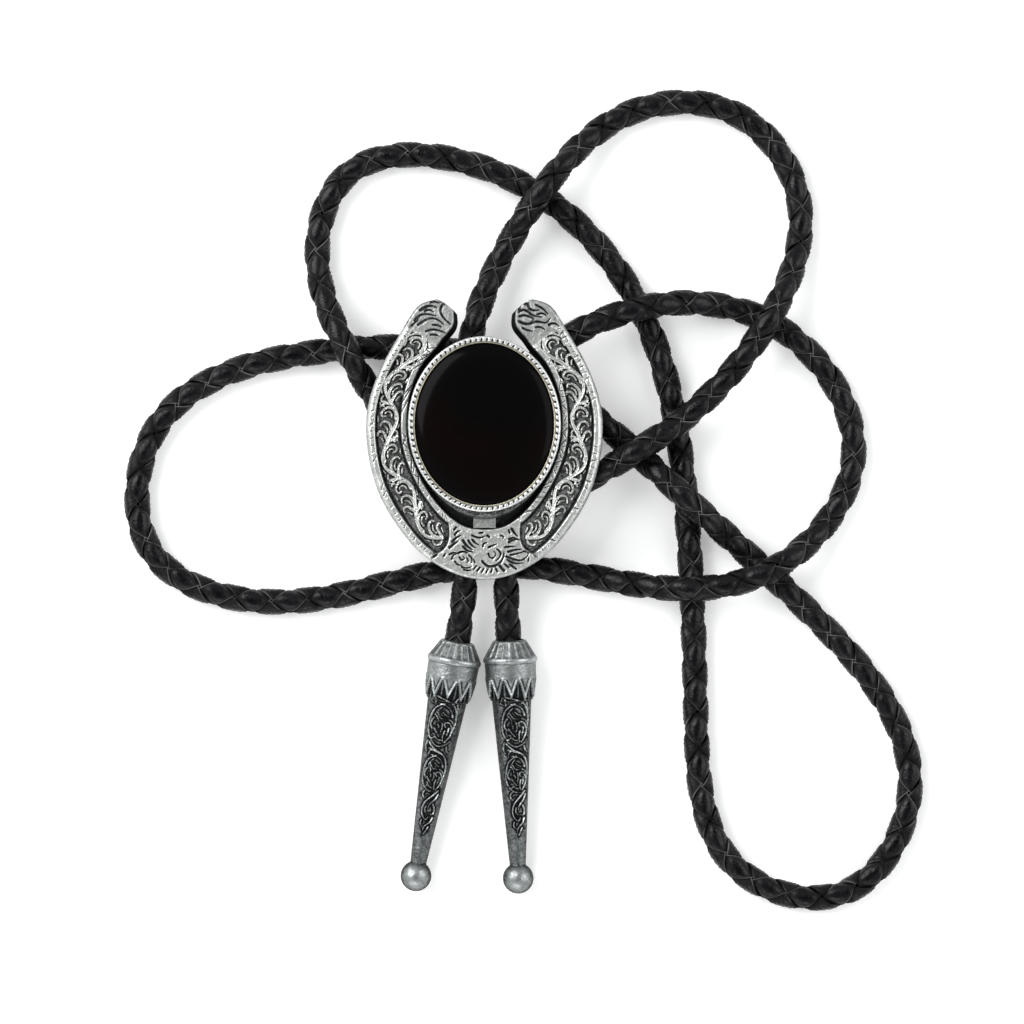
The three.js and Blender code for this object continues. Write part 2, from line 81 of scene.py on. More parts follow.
# Cord, with its length in metres, and the four laces of its braid
CORD_R = 2.15
HUMP_REACH = 16.5
RING_STEP = 0.6
BRAID_PITCH = 13.0
LACE_HALF_ANGLE = 1.44
LACE_THICKNESS = 0.9
LACE_MIDDLE = 1.37
LACE_WEAVE = 0.6
LACE_TUCK = 0.34
LACE_POINTS = 9
LACE_LOOSENESS = 0.05
LACE_DISH = 0.14
LACE_INNERMOST = 0.25
LACE_EDGE_POWER = 40
CORE_R = 1.15
CORE_SIDES = 8
ABOVE_FLOOR = 0.01

# Levels of the slide, from the frame
SLIDE_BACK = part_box("horseshoe")[0][2] / MM
STONE_Y = 30.2
SETTING_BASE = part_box("setting")[0][2] / MM
STONE_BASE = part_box("stone")[0][2] / MM

# Levels of the horseshoe above its own back
BASE_PLATE = 1.2
CHANNEL_FLOOR = 1.75
WALL_TOP = 2.3
PAD_LEVEL = 2.6
RIM_TOP = 3.0

# Widths across the band, then places along it, as rows of HORSESHOE_ROWS counted from the toe
INNER_RIM = 1.25
OUTER_RIM = 1.25
OUTER_BEVEL = 0.45
CHANNEL_START = 1.88
CHANNEL_END = 12.5
INNER_RIM_ROWS = (2.2, 12.2)
OUTER_RIM_ROWS = (2.25, 12.6)

# Relief of the horseshoe's face
VINE_HEIGHT = 0.85
VEIN_DEPTH = 0.15
CHASE_DEPTH = 0.36
TICK_DEPTH = 0.16
HAMMER_DEPTH = 0.03
ROUGH_DEPTH = 0.016
RIM_CROWN = 0.2
INNER_EDGE_DROP = 0.2
SCROLLS_PER_SIDE = 6
SCROLL_SPACING = 7.7

# Mesh of the horseshoe, and how far its heels are drawn out
BAND_RINGS = 1000
BAND_COLUMNS = 84
HEEL_STEPS = 7
HEEL_BULGE = 0.525

# Wall under the inner edge, painted dark as shade between the horseshoe and the setting. Columns: share of
# the way from its foot to the edge, height, shade
INNER_WALL = [
    (0.0, 0.0, 1.0),
    (0.0, BASE_PLATE - 0.2, 1.0),
    (0.55, 1.6, 1.0),
    (0.9, 2.3, 0.9),
]

# Wall under the outer edge. Columns: height, shade
OUTER_WALL = [
    (WALL_TOP - 0.35, 0.3),
    (0.0, 0.6),
]

# Plate behind the setting. Columns: share of the outline, height
PLATE_PROFILE = [
    (0.01, 0.01),
    (1.0, 0.01),
    (1.0, BASE_PLATE - 0.12),
    (0.992, BASE_PLATE),
    (0.01, BASE_PLATE),
]

# Right half of the horseshoe from the toe to the heel, about the stone's centre.
# Columns: outer edge x and y, inner edge x and y
HORSESHOE_ROWS = [
    (0.0, -27.1, 0.0, -18.3),
    (4.2, -26.4, 2.8, -18.0),
    (8.1, -24.6, 5.3, -16.7),
    (11.8, -21.8, 7.7, -14.4),
    (15.1, -17.8, 9.9, -11.4),
    (17.8, -13.4, 11.6, -8.2),
    (19.5, -8.8, 12.8, -5.0),
    (20.4, -4.2, 13.4, -1.8),
    (20.6, 0.5, 13.4, 1.8),
    (19.9, 4.9, 12.9, 5.3),
    (18.3, 9.3, 11.8, 8.5),
    (16.5, 12.8, 10.4, 11.0),
    (14.6, 16.0, 8.5, 13.2),
    (13.0, 18.7, 7.2, 15.0),
    (11.2, 20.85, 5.6, 17.1),
    (8.6, 21.7, 5.45, 19.4),
]
TOE_ROW = len(HORSESHOE_ROWS) - 1

# Setting and stone
SETTING_A = 13.3
SETTING_B = 15.3
RIM_WIDTH = 0.95
RIM_MIDDLE = 2.88
RIM_RISE = 0.42
RIM_TICKS = 84
RINGS_PER_TICK = 14
SKIRT_DROP = 1.9
STONE_A = 12.3
STONE_B = 14.3
STONE_GIRDLE = 1.5
STONE_DOME = 1.75
TAB = {"width": 3.9, "top": 1.1, "bevel": 0.12, "start": -14.2, "end": -18.05}

# Cup of the setting, its shade column painting shade on the skirt, at the foot and under the rim. Columns:
# inset, height, share of the drawn-out foot, shade, warmth
SETTING_PROFILE = [
    (9.0, 0.0, 0, 1, 0),
    (0.62, 0.0, 1, 1, 0),
    (0.55, 0.06, 1, 1, 0),
    (0.5, 0.5, 0.97, 0.85, 0),
    (0.3, 1.4, 0.8, 0.72, 0),
    (0.12, 2.2, 0.45, 0.72, 0),
    (0.04, 2.6, 0, 0.85, 0),
    (0.3, 2.9, 0, 0.5, 0),
    (0.86, 2.9, 0, 0.95, 0),
    (0.93, 3.1, 0, 0.6, 1),
    (1.02, 3.16, 0, 0.2, 1),
    (1.14, 3.14, 0, 0.3, 1),
    (1.2, 3.02, 0, 0.6, 1),
    (1.18, 2.9, 0, 1, 0),
    (1.02, 2.8, 0, 1, 0),
    (1.02, 0.62, 0, 1, 0),
    (9.0, 0.6, 0, 1, 0),
]

# Tips, with places along them from the mouth
COLLAR_Z = 4.75
COLLAR_AT = 3.4
BEAD_AT = 3.45
BALL_AT = 42.0
BALL_R = 2.7
NECK_R = 1.42
CONE = (0.3, 2.95)
TEETH = (6.3, 10.5)
VINE_FIELD = (9.4, 35.6)
SOCKET_DEPTH = 5.0
SOCKET_ROOM = 0.3

# Relief of a tip
TIP_FLUTES = 20
FLUTE_DEPTH = 0.16
TIP_TEETH = 10
GAP_DEPTH = 0.45
GROOVE_DEPTH = 0.2
RIDGE_HEIGHT = 0.1
TIP_VINE_HEIGHT = 0.42
TIP_VINE_MOAT = 0.22

# Mesh of a tip. Columns: start, end, rings between them
TIP_STEPS = [
    (0, 10.8, 116),
    (10.8, 35.0, 216),
    (35.0, 39.6, 16),
]
TIP_SECTORS = 168
BALL_RINGS = 34

# Dark lines round a tip. Columns: place, half width, darkness
TIP_LINES = [
    (4.05, 0.12, 0.75),
    (10.68, 0.14, 0.9),
    (39.55, 0.25, 0.9),
]

# Outline of a tip. Columns: distance from the mouth, radius
TIP_ROWS = [
    (0.0, 2.55),
    (0.12, 2.85),
    (0.35, 3.05),
    (2.75, 4.45),
    (2.95, 4.55),
    (3.2, 4.72),
    (3.45, 4.75),
    (3.8, 4.68),
    (4.0, 4.5),
    (6.5, 4.42),
    (6.9, 4.4),
    (10.2, 4.1),
    (10.45, 3.95),
    (10.6, 3.45),
    (38.4, 1.5),
    (39.3, 1.42),
    (39.6, 1.45),
    (39.9, 1.7),
]

# Mouths of the two tips: place, direction along the floor, and turn of the vine about the tip's axis
TIP_PLACES = {
    "tip_left": (-4.7, -7.7, -100.1, -0.06),
    "tip_right": (4.35, -7.5, -87.9, 0.19),
}

# Route of the cord from inside the left tip to inside the right one. Columns: x, y, lift
CORD_ROUTE = [
    (-5.6, -12.6, 2.5),
    (-3.1, 6.0, 4.8),
    (-3.3, 33.0, 4.8),
    (-2.4, 45.0, 4.8),
    (2.6, 58.9, 2.0),
    (10.7, 71.9, 5.1),
    (25.5, 85.0, 0),
    (44.5, 84.6, 0),
    (55.3, 69.0, 0),
    (49.7, 48.4, 5.2),
    (34.4, 30.9, 5.0),
    (26.1, 25.3, 6.3),
    (-2.0, 16.8, 0),
    (-14.4, 27.6, 0),
    (-24.2, 43.5, 5.1),
    (-29.4, 61.0, 0),
    (-24.6, 73.7, 0),
    (-2.4, 76.1, 0),
    (28.4, 48.4, 0),
    (35.3, 17.2, 0),
    (37.1, -21.0, 0),
    (44.5, -47.8, 0),
    (63.0, -52.0, 0),
    (74.6, -35.0, 0),
    (58.1, -3.7, 0),
    (35.3, 17.3, 5.3),
    (3.6, 40.9, 0),
    (-24.4, 43.5, 0),
    (-58.6, 28.0, 0),
    (-58.9, 8.6, 0),
    (-39.0, -0.8, 0),
    (1.2, 5.6, 0),
    (36.7, 1.5, 5.1),
    (49.0, 4.2, 5.3),
    (64.8, 24.7, 0),
    (49.9, 48.3, 0),
    (26.6, 50.4, 5.3),
    (7.5, 39.8, 4.8),
    (3.5, 33.9, 4.8),
    (3.35, 25.2, 4.8),
    (3.7, 5.6, 4.8),
    (4.5, -12.6, 2.5),
]


def smooth(t):
    t = np.clip(t, 0.0, 1.0)
    return t * t * (3 - 2 * t)


def between(place, start, end, ease_in, ease_out):
    """1 between the start and the end, easing in after the one and out before the other."""
    return smooth((place - start) / ease_in) * smooth((end - place) / ease_out)


def bell(offset, width):
    return np.exp(-(offset / width) ** 2)


def arc_length(line):
    """Distance along the line to each of its points."""
    return np.concatenate([[0], np.cumsum(np.linalg.norm(np.diff(line, axis=0), axis=1))])


def spline(knots, values):
    """Natural cubic spline through the values at the knots, as a function of place."""
    knots = np.asarray(knots, float)
    values = np.asarray(values, float)
    count = len(knots)
    spans = np.diff(knots)
    system = np.eye(count)
    right = np.zeros(count)
    for k in range(1, count - 1):
        system[k, k - 1] = spans[k - 1]
        system[k, k] = 2 * (spans[k - 1] + spans[k])
        system[k, k + 1] = spans[k]
        slope = np.diff(values)[k - 1:k + 1] / spans[k - 1:k + 1]
        right[k] = 6 * (slope[1] - slope[0])
    bends = np.linalg.solve(system, right)

    def at(place):
        place = np.asarray(place, float)
        k = np.clip(np.searchsorted(knots, place, side="right") - 1, 0, count - 2)
        b = (place - knots[k]) / spans[k]
        a = 1 - b
        bow = ((a ** 3 - a) * bends[k] + (b ** 3 - b) * bends[k + 1]) * spans[k] ** 2 / 6
        return a * values[k] + b * values[k + 1] + bow

    return at


def at_height(plan, z):
    return np.column_stack([plan, np.full(len(plan), z)])


def ellipse(a, b, angle):
    return np.column_stack([a * np.cos(angle), b * np.sin(angle)])


def grid_faces(rows, columns, wrap_columns=False):
    """Quads between neighbouring points of a grid, numbered row by row."""
    last = columns if wrap_columns else columns - 1
    i, j = np.meshgrid(np.arange(rows - 1) * columns, np.arange(last), indexing="ij")
    following = (j + 1) % columns
    corners = [i + j, i + following, i + columns + following, i + columns + j]
    return np.stack([c.ravel() for c in corners], axis=1)


def tube_faces(rings, sides):
    """Quads between the rings of a tube, and a cap on each end."""
    faces = grid_faces(rings, sides, wrap_columns=True).tolist()
    faces.append(list(range(sides - 1, -1, -1)))
    faces.append(list(range((rings - 1) * sides, rings * sides)))
    return faces


class Build:
    """Points, faces and named values of one mesh, gathered part by part."""

    def __init__(self):
        self.points = []
        self.faces = []
        self.values = {}
        self.count = 0

    def add(self, points, faces, **values):
        """Adds a part, with values that are one number for the part or one for each point."""
        points = np.asarray(points, float).reshape(-1, 3)
        self.faces += [[k + self.count for k in face] for face in faces]
        for name in sorted(set(self.values) | set(values)):
            column = self.values.setdefault(name, [np.zeros(self.count)])
            value = np.asarray(values.get(name, 0.0), float).ravel()
            column.append(np.broadcast_to(value, len(points)))
        self.points.append(points)
        self.count += len(points)

    def piece(self, name, material, sharp):
        """Object made of all the parts, with edges sharper than the angle in degrees left sharp."""
        mesh = bpy.data.meshes.new(name)
        mesh.from_pydata((np.vstack(self.points) * MM).tolist(), [], self.faces)
        for key, parts in self.values.items():
            layer = mesh.attributes.new(key, "FLOAT", "POINT")
            layer.data.foreach_set("value", np.concatenate(parts).astype(np.float32))
        mesh.validate()
        mesh.shade_smooth()
        mesh.set_sharp_from_angle(angle=math.radians(sharp))
        mesh.materials.append(material)
        return add_object(name, mesh)


def add_object(name, data, place=(0.0, 0.0, 0.0)):
    made = bpy.data.objects.new(name, data)
    made.location = place
    bpy.context.scene.collection.objects.link(made)
    return made


# Materials

NOISE = "ShaderNodeTexNoise"
CELLS = "ShaderNodeTexVoronoi"


def shader(name):
    material = bpy.data.materials.new(name)
    material.use_nodes = True
    tree = material.node_tree
    return material, tree, tree.nodes["Principled BSDF"].inputs


def texture(tree, kind, scale, **inputs):
    """Procedural texture in the object's own space."""
    place = tree.nodes.new("ShaderNodeTexCoord")
    made = tree.nodes.new(kind)
    made.inputs["Scale"].default_value = scale
    for key, value in inputs.items():
        made.inputs[key].default_value = value
    tree.links.new(place.outputs["Object"], made.inputs["Vector"])
    return made.outputs["Distance" if kind == CELLS else "Fac"]


def mesh_value(tree, name):
    """Value of that name on the mesh's points."""
    made = tree.nodes.new("ShaderNodeAttribute")
    made.attribute_name = name
    return made.outputs["Fac"]


def grey(level):
    return (level, level, level)


def ramp(tree, source, stops):
    made = tree.nodes.new("ShaderNodeValToRGB")
    marks = made.color_ramp.elements
    marks[0].position = stops[0][0]
    marks[0].color = (*stops[0][1], 1)
    marks[1].position = stops[-1][0]
    marks[1].color = (*stops[-1][1], 1)
    for position, colour in stops[1:-1]:
        marks.new(position).color = (*colour, 1)
    tree.links.new(source, made.inputs["Fac"])
    return made.outputs["Color"]


def mix(tree, kind, factor, a, b):
    """Blend of two colours, each of them and the factor a node's output or a constant."""
    made = tree.nodes.new("ShaderNodeMix")
    made.data_type = "RGBA"
    made.blend_type = kind
    for socket, value in ((made.inputs["Factor"], factor), (made.inputs[6], a), (made.inputs[7], b)):
        if hasattr(value, "is_output"):
            tree.links.new(value, socket)
        elif isinstance(value, tuple):
            socket.default_value = (*value, 1)
        else:
            socket.default_value = value
    return made.outputs[2]


def value_range(tree, source, low, high):
    made = tree.nodes.new("ShaderNodeMapRange")
    made.inputs["To Min"].default_value = low
    made.inputs["To Max"].default_value = high
    tree.links.new(source, made.inputs["Value"])
    return made.outputs["Result"]


def bump(tree, height, strength, distance, under=None):
    """Normal of a bumped surface, on top of the bump under it if there is one."""
    made = tree.nodes.new("ShaderNodeBump")
    made.inputs["Strength"].default_value = strength
    made.inputs["Distance"].default_value = distance
    tree.links.new(height, made.inputs["Height"])
    if under is not None:
        tree.links.new(under, made.inputs["Normal"])
    return made.outputs["Normal"]


def patina_and_shade_metal(name, bright, dark, polish, dull, grain):
    """Cast metal, bright where it is rubbed and dark where the value "shade" is high; that value holds both
    the dark patina in the hollows and painted shade.
    """
    material, tree, inputs = shader(name)
    blotch = texture(tree, NOISE, 420.0, Detail=4.0, Roughness=0.6)
    speckle = texture(tree, NOISE, 2400.0, Detail=2.0)
    dents = texture(tree, NOISE, 1300.0, Detail=2.0)
    pits = texture(tree, NOISE, 3800.0, Detail=3.0)
    # The shade value, real patina and painted shade together, mottled at random
    tone_level = mix(tree, "LINEAR_LIGHT", 0.18, mesh_value(tree, "shade"), blotch)
    tone_level = mix(tree, "LINEAR_LIGHT", 0.26, tone_level, speckle)
    middle = tuple(0.5 * (a + b) for a, b in zip(bright, dark))
    colour = ramp(tree, tone_level, [(0.1, bright), (0.5, middle), (0.85, dark)])
    tinted = mix(tree, "MULTIPLY", mesh_value(tree, "warm"), colour, WARM_TINT)
    tree.links.new(tinted, inputs["Base Color"])
    tree.links.new(value_range(tree, tone_level, polish, dull), inputs["Roughness"])
    inputs["Metallic"].default_value = 1.0
    dented = bump(tree, dents, grain, 0.0004)
    tree.links.new(bump(tree, pits, grain, 0.00012, dented), inputs["Normal"])
    return material


def plain_metal():
    """Brushed grey metal of the clip."""
    material, tree, inputs = shader("plain_clip_metal")
    scratch = texture(tree, NOISE, 900.0, Detail=5.0, Distortion=0.4)
    colour = ramp(tree, scratch, [(0.3, (0.34, 0.35, 0.35)), (0.7, (0.5, 0.5, 0.49))])
    tree.links.new(colour, inputs["Base Color"])
    tree.links.new(value_range(tree, scratch, 0.28, 0.46), inputs["Roughness"])
    inputs["Metallic"].default_value = 1.0
    tree.links.new(bump(tree, scratch, 0.2, 0.0001), inputs["Normal"])
    return material


def black_stone():
    """Polished black stone with a faint dark red cloud in it."""
    material, tree, inputs = shader("black_cabochon")
    cloud = texture(tree, NOISE, 60.0, Detail=3.0, Roughness=0.5)
    colour = ramp(tree, cloud, [(0.5, STONE_BLACK), (0.75, STONE_CLOUD)])
    tree.links.new(colour, inputs["Base Color"])
    inputs["Roughness"].default_value = 0.12
    inputs["Specular IOR Level"].default_value = 0.04
    return material


def black_leather():
    """Flat cut laces: grained black faces with painted shade where one lace dips under the next, and thin
    paler edges.
    """
    material, tree, inputs = shader("black_lace_leather")
    crease = mesh_value(tree, "crease")
    grain = texture(tree, CELLS, 2600.0)
    cloud = texture(tree, NOISE, 220.0, Detail=4.0)
    wrinkle = texture(tree, NOISE, 700.0, Detail=5.0, Distortion=1.5)
    face = ramp(tree, cloud, [(0.35, LEATHER_DARK), (0.7, LEATHER_LIGHT)])
    # Painted shade: the crease shade value darkens the face where one lace dips under the next
    shaded = mix(tree, "MIX", crease, face, LEATHER_CREASE_SHADE)
    rubbed = ramp(tree, cloud, [(0.42, grey(0)), (0.62, grey(1))])
    tone_level = mix(tree, "MULTIPLY", 1.0, mesh_value(tree, "edge"), rubbed)
    tree.links.new(mix(tree, "MIX", tone_level, shaded, LEATHER_EDGE), inputs["Base Color"])
    gloss = ramp(tree, wrinkle, [(0.36, grey(0.15)), (0.64, grey(0.38))])
    tree.links.new(mix(tree, "MIX", crease, gloss, grey(0.95)), inputs["Roughness"])
    inputs["Specular IOR Level"].default_value = 0.2
    creased = bump(tree, wrinkle, 0.3, 0.0003)
    tree.links.new(bump(tree, grain, 0.25, 0.0001, creased), inputs["Normal"])
    return material


def pale_floor():
    """Nearly white floor that glows a little, so that it stays even."""
    material, tree, inputs = shader("pale_floor")
    tone = texture(tree, NOISE, 3.0)
    tree.links.new(ramp(tree, tone, [(0.0, grey(0.9)), (1.0, grey(0.93))]), inputs["Base Color"])
    inputs["Roughness"].default_value = 0.9
    inputs["Emission Color"].default_value = (1, 1, 1, 1)
    inputs["Emission Strength"].default_value = 0.25
    return material


# Camera and light

def add_camera():
    camera = bpy.data.cameras.new("camera")
    camera.sensor_width = SENSOR
    camera.lens = SENSOR * CAMERA_HEIGHT / PICTURE_WIDTH
    camera.clip_end = CAMERA_REACH
    bpy.context.scene.camera = add_object("camera", camera, (*PICTURE_CENTRE, CAMERA_HEIGHT))
    bpy.context.scene.view_settings.view_transform = "Standard"


def add_world():
    """Even pale surroundings that darken straight overhead, as above a product table."""
    world = bpy.data.worlds.new("studio")
    world.use_nodes = True
    tree = world.node_tree
    place = tree.nodes.new("ShaderNodeTexCoord")
    parts = tree.nodes.new("ShaderNodeSeparateXYZ")
    tree.links.new(place.outputs["Generated"], parts.inputs["Vector"])
    stops = [(height, tuple(part * level for part in SKY_TINT)) for height, level in SKY]
    tree.links.new(ramp(tree, parts.outputs["Z"], stops), tree.nodes["Background"].inputs["Color"])
    bpy.context.scene.world = world


def add_studio():
    add_world()
    for name, place, size, power in LIGHTS:
        light = bpy.data.lights.new(name, "AREA")
        light.shape = "RECTANGLE"
        light.size, light.size_y = size
        light.energy = power
        aim = Vector(LIGHT_AIM) - Vector(place)
        add_object(name, light, place).rotation_euler = aim.to_track_quat("-Z", "Y").to_euler()
    half = FLOOR_WIDTH / 2
    corners = [(-half, -half, 0), (half, -half, 0), (half, half, 0), (-half, half, 0)]
    floor = bpy.data.meshes.new("floor")
    floor.from_pydata(corners, [], [(0, 1, 2, 3)])
    floor.materials.append(pale_floor())
    plane = add_object("floor", floor)


# Cord

def cord_line():
    """Middle line of the cord at even steps, and how far along it each step is."""
    route = np.array(CORD_ROUTE, float)
    knots = arc_length(route[:, :2])
    plan = [spline(knots, route[:, axis]) for axis in (0, 1)]
    place = np.arange(0, knots[-1], 0.05)
    k = np.clip(np.searchsorted(knots, place, side="right") - 1, 0, len(knots) - 2)
    span = knots[k + 1] - knots[k]
    share = (place - knots[k]) / span
    near_is_first = route[k, 2] > 0
    near = np.where(near_is_first, route[k, 2], route[k + 1, 2])
    far = np.where(near_is_first, route[k + 1, 2], route[k, 2])
    both = (route[k, 2] > 0) & (route[k + 1, 2] > 0)
    reach = np.where(both, span, np.minimum(span, HUMP_REACH))
    away = np.where(near_is_first, share, 1 - share) * span
    ease = (1 - np.cos(np.pi * np.minimum(away / reach, 1))) / 2
    line = np.column_stack([plan[0](place), plan[1](place), CORD_R + near + (far - near) * ease])
    arc = arc_length(line)
    steps = int(round(arc[-1] / RING_STEP))
    even = np.linspace(0, arc[-1], steps + 1)
    return np.column_stack([np.interp(even, arc, line[:, axis]) for axis in range(3)]), even


def carried_frames(line):
    """Two directions across the line at each point, carried along it without twist."""
    tangent = np.gradient(line, axis=0)
    tangent /= np.linalg.norm(tangent, axis=1)[:, None]
    side = np.zeros_like(line)
    side[0] = np.cross(tangent[0], (0, 0, 1))
    for k in range(1, len(line)):
        kept = side[k - 1] - tangent[k] * np.dot(side[k - 1], tangent[k])
        side[k] = kept / np.linalg.norm(kept)
    side[0] /= np.linalg.norm(side[0])
    return side, np.cross(tangent, side)


def around(line, side, up, radius, angle):
    """Points at a radius and an angle about each point of the line."""
    out = np.cos(angle)[..., None] * side[:, None] + np.sin(angle)[..., None] * up[:, None]
    return line[:, None] + radius[..., None] * out


def add_core(build, line, side, up):
    """Plain core inside the braid, painted all over in the crease shade colour."""
    angle = np.linspace(0, 2 * np.pi, CORE_SIDES, endpoint=False)
    ring = around(line, side, up, np.full(CORE_SIDES, CORE_R), angle)
    build.add(ring, tube_faces(len(line), CORE_SIDES), edge=0.0, crease=1.0)


def braided_cord(leather):
    """Four flat laces in a round braid: two wind one way and two the other, over and under in turn."""
    line, place = cord_line()
    side, up = carried_frames(line)
    build = Build()
    outer = np.sin(np.linspace(-0.5 * np.pi, 0.5 * np.pi, LACE_POINTS))
    inner = np.linspace(0.9, -0.9, 3)
    across = np.concatenate([outer, inner])
    skin = np.concatenate([np.ones(len(outer)), -np.ones(len(inner))])
    turn = 2 * np.pi * place[:, None] / BRAID_PITCH
    loose = 1 + LACE_LOOSENESS * np.sin(place * 0.31) * np.sin(place * 0.047)
    for direction in (1, -1):
        for phase in (0.0, np.pi):
            angle = direction * turn + phase + across * LACE_HALF_ANGLE * loose[:, None]
            over = np.cos(angle - turn) * np.cos(angle + turn)
            over /= np.sqrt(over ** 2 + LACE_TUCK ** 2)
            crown = np.where(skin > 0, 1 - 0.1 * np.abs(across) ** 10, -0.9)
            dish = LACE_DISH * (across ** 2 - 0.45)
            radius = LACE_MIDDLE + direction * LACE_WEAVE * over + LACE_THICKNESS / 2 * crown + dish
            ring = around(line, side, up, np.maximum(radius, LACE_INNERMOST), angle)
            ring[..., 2] = np.maximum(ring[..., 2], ABOVE_FLOOR)
            edge = np.where(skin > 0, np.abs(across) ** LACE_EDGE_POWER, 0.0)
            # Painted shade, strongest where this lace dips under the one it crosses
            crease = 1 - smooth((direction * over - 0.2) / 0.55)
            faces = tube_faces(len(line), len(across))
            build.add(ring, faces, edge=np.broadcast_to(edge, ring.shape[:2]), crease=crease)
    add_core(build, line[::2], side[::2], up[::2])
    return build.piece("cord_braid", leather, sharp=50), line


# Strokes: lines with a half width at each point, raised or cut on a surface

def stroke_nearness(x, y, strokes, spread=2.2):
    """Share of the way out from the nearest stroke's middle to its edge: 0 on its middle, 1 at its edge."""
    nearness = np.full(x.shape, 2.0 * spread)
    for line, width in strokes:
        width = np.broadcast_to(width, len(line))
        reach = spread * width.max()
        inside = ((x > line[:, 0].min() - reach) & (x < line[:, 0].max() + reach)
                  & (y > line[:, 1].min() - reach) & (y < line[:, 1].max() + reach))
        if not inside.any():
            continue
        px, py = x[inside][:, None], y[inside][:, None]
        ax, ay = line[:-1, 0], line[:-1, 1]
        dx, dy = np.diff(line[:, 0]), np.diff(line[:, 1])
        share = np.clip(((px - ax) * dx + (py - ay) * dy) / np.maximum(dx * dx + dy * dy, 1e-9), 0, 1)
        distance = np.hypot(px - ax - share * dx, py - ay - share * dy)
        wide = width[:-1] + share * np.diff(width)
        nearness[inside] = np.minimum(nearness[inside], (distance / wide).min(axis=1))
    return nearness


def rounded(nearness):
    return np.sqrt(np.clip(1 - nearness ** 2, 0, 1))


# Horseshoe

def both_sides(column, sign):
    half = [row[column] for row in HORSESHOE_ROWS]
    return [sign * v for v in half[:0:-1]] + half


band_index = np.arange(-TOE_ROW, TOE_ROW + 1)
edge_at = [spline(band_index, both_sides(column, -1 if column in (0, 2) else 1)) for column in range(4)]


def band_place(row, distance):
    """Plan point at a distance from the inner edge, in the band's row counted from the toe."""
    row = np.asarray(row, float)
    outer = np.stack([edge_at[0](row), edge_at[1](row)], axis=-1)
    inner = np.stack([edge_at[2](row), edge_at[3](row)], axis=-1)
    width = np.linalg.norm(outer - inner, axis=-1)
    return inner + (outer - inner) / width[..., None] * np.asarray(distance)[..., None], width


def channel_middle(width):
    return (INNER_RIM + width - OUTER_RIM - OUTER_BEVEL) / 2


fine_rows = np.linspace(0, TOE_ROW, 400)
_, fine_width = band_place(fine_rows, np.zeros(400))
fine_middle, _ = band_place(fine_rows, channel_middle(fine_width))
fine_arc = arc_length(fine_middle)


def on_band(points, side):
    """Points given as arc length from the toe and distance from the channel's middle, in plan."""
    points = np.asarray(points, float)
    row = np.interp(points[:, 0], fine_arc, fine_rows)
    width = np.interp(row, fine_rows, fine_width)
    plan, _ = band_place(row, channel_middle(width) + points[:, 1])
    return plan * (side, 1)


def through(points, width, tip=0.35, count=22):
    """Smooth stroke through the points, that thins towards its end."""
    points = np.array(points, float)
    knots = arc_length(points)
    place = np.linspace(0, knots[-1], count)
    line = np.column_stack([spline(knots, points[:, axis])(place) for axis in (0, 1)])
    share = place / knots[-1]
    return line, width * (1 - (1 - tip) * share ** 2)


# One scroll of the vine. Rows: half width, 1 where a fine line runs down its middle, then the points
# as distance along the channel and distance out to the volute's side
SCROLL = [
    (0.4, 1, [(0.0, 0.3), (1.5, -0.6), (3.0, -1.4), (4.3, -1.65), (6.0, -1.35), (7.7, -0.5)]),
    (0.34, 1, [(4.4, -1.3), (5.7, -1.25), (6.6, -0.65), (6.95, 0.15), (6.6, 0.95), (5.9, 1.25), (5.3, 0.95),
               (5.25, 0.45)]),
    (0.2, 0, [(4.9, -0.6), (5.6, -0.5), (6.1, 0.0), (6.0, 0.5), (5.7, 0.6)]),
    (0.34, 1, [(0.9, -0.2), (2.3, -0.55), (3.5, -0.3), (4.15, 0.35), (4.1, 1.05), (3.5, 1.35)]),
    (0.2, 0, [(1.9, 0.1), (2.8, 0.2), (3.35, 0.7)]),
    (0.32, 1, [(0.5, 0.3), (1.6, 0.6), (2.4, 1.15), (2.35, 1.75), (1.8, 1.85)]),
    (0.19, 0, [(0.5, 1.0), (1.1, 1.25), (1.4, 1.55)]),
    (0.3, 1, [(0.1, -0.4), (0.5, -1.25), (1.2, -1.65), (1.8, -1.45)]),
    (0.18, 0, [(-0.4, -0.95), (-0.1, -1.5), (0.5, -1.85)]),
    (0.23, 0, [(7.3, -0.4), (7.75, 0.35), (7.65, 1.15), (7.2, 1.65)]),
    (0.2, 0, [(7.9, 0.4), (8.35, 1.1), (8.1, 1.8)]),
    (0.18, 0, [(4.5, 1.75), (5.1, 1.8), (5.6, 1.85)]),
    (0.16, 0, [(2.3, -1.8), (3.1, -2.05)]),
]


def channel_strokes():
    """Strokes of the vine in both channels, and the fine lines down the middle of the wide ones."""
    start = np.interp(CHANNEL_START + 0.3, fine_rows, fine_arc)
    end = np.interp(CHANNEL_END - 0.1, fine_rows, fine_arc)
    length = (end - start) / SCROLLS_PER_SIDE
    stretch = length / SCROLL_SPACING
    strokes = []
    veins = []
    for side in (-1, 1):
        for k in range(SCROLLS_PER_SIDE):
            hand = 1 if k % 2 else -1
            for width, veined, points in SCROLL:
                placed = [(start + k * length + along * stretch, hand * out) for along, out in points]
                line, wide = through(placed, width, 0.6)
                inside = (line[:, 0] > start + 0.1) & (line[:, 0] < end + 0.1)
                if inside.sum() > 2:
                    plan = on_band(line[inside], side)
                    strokes.append((plan, wide[inside]))
                    if veined:
                        veins.append((plan, 0.3 * wide[inside]))
        for inset in (0.1, 0.75):
            arch = [(end - 1.6, inset - 2.3), (end - inset - 0.2, -1.2), (end + 0.15 - inset, 0.1),
                    (end - inset - 0.3, 1.4), (end - 1.6, 2.4 - inset)]
            line, wide = through(arch, 0.22, 0.8)
            strokes.append((on_band(line, side), wide))
    return strokes, veins


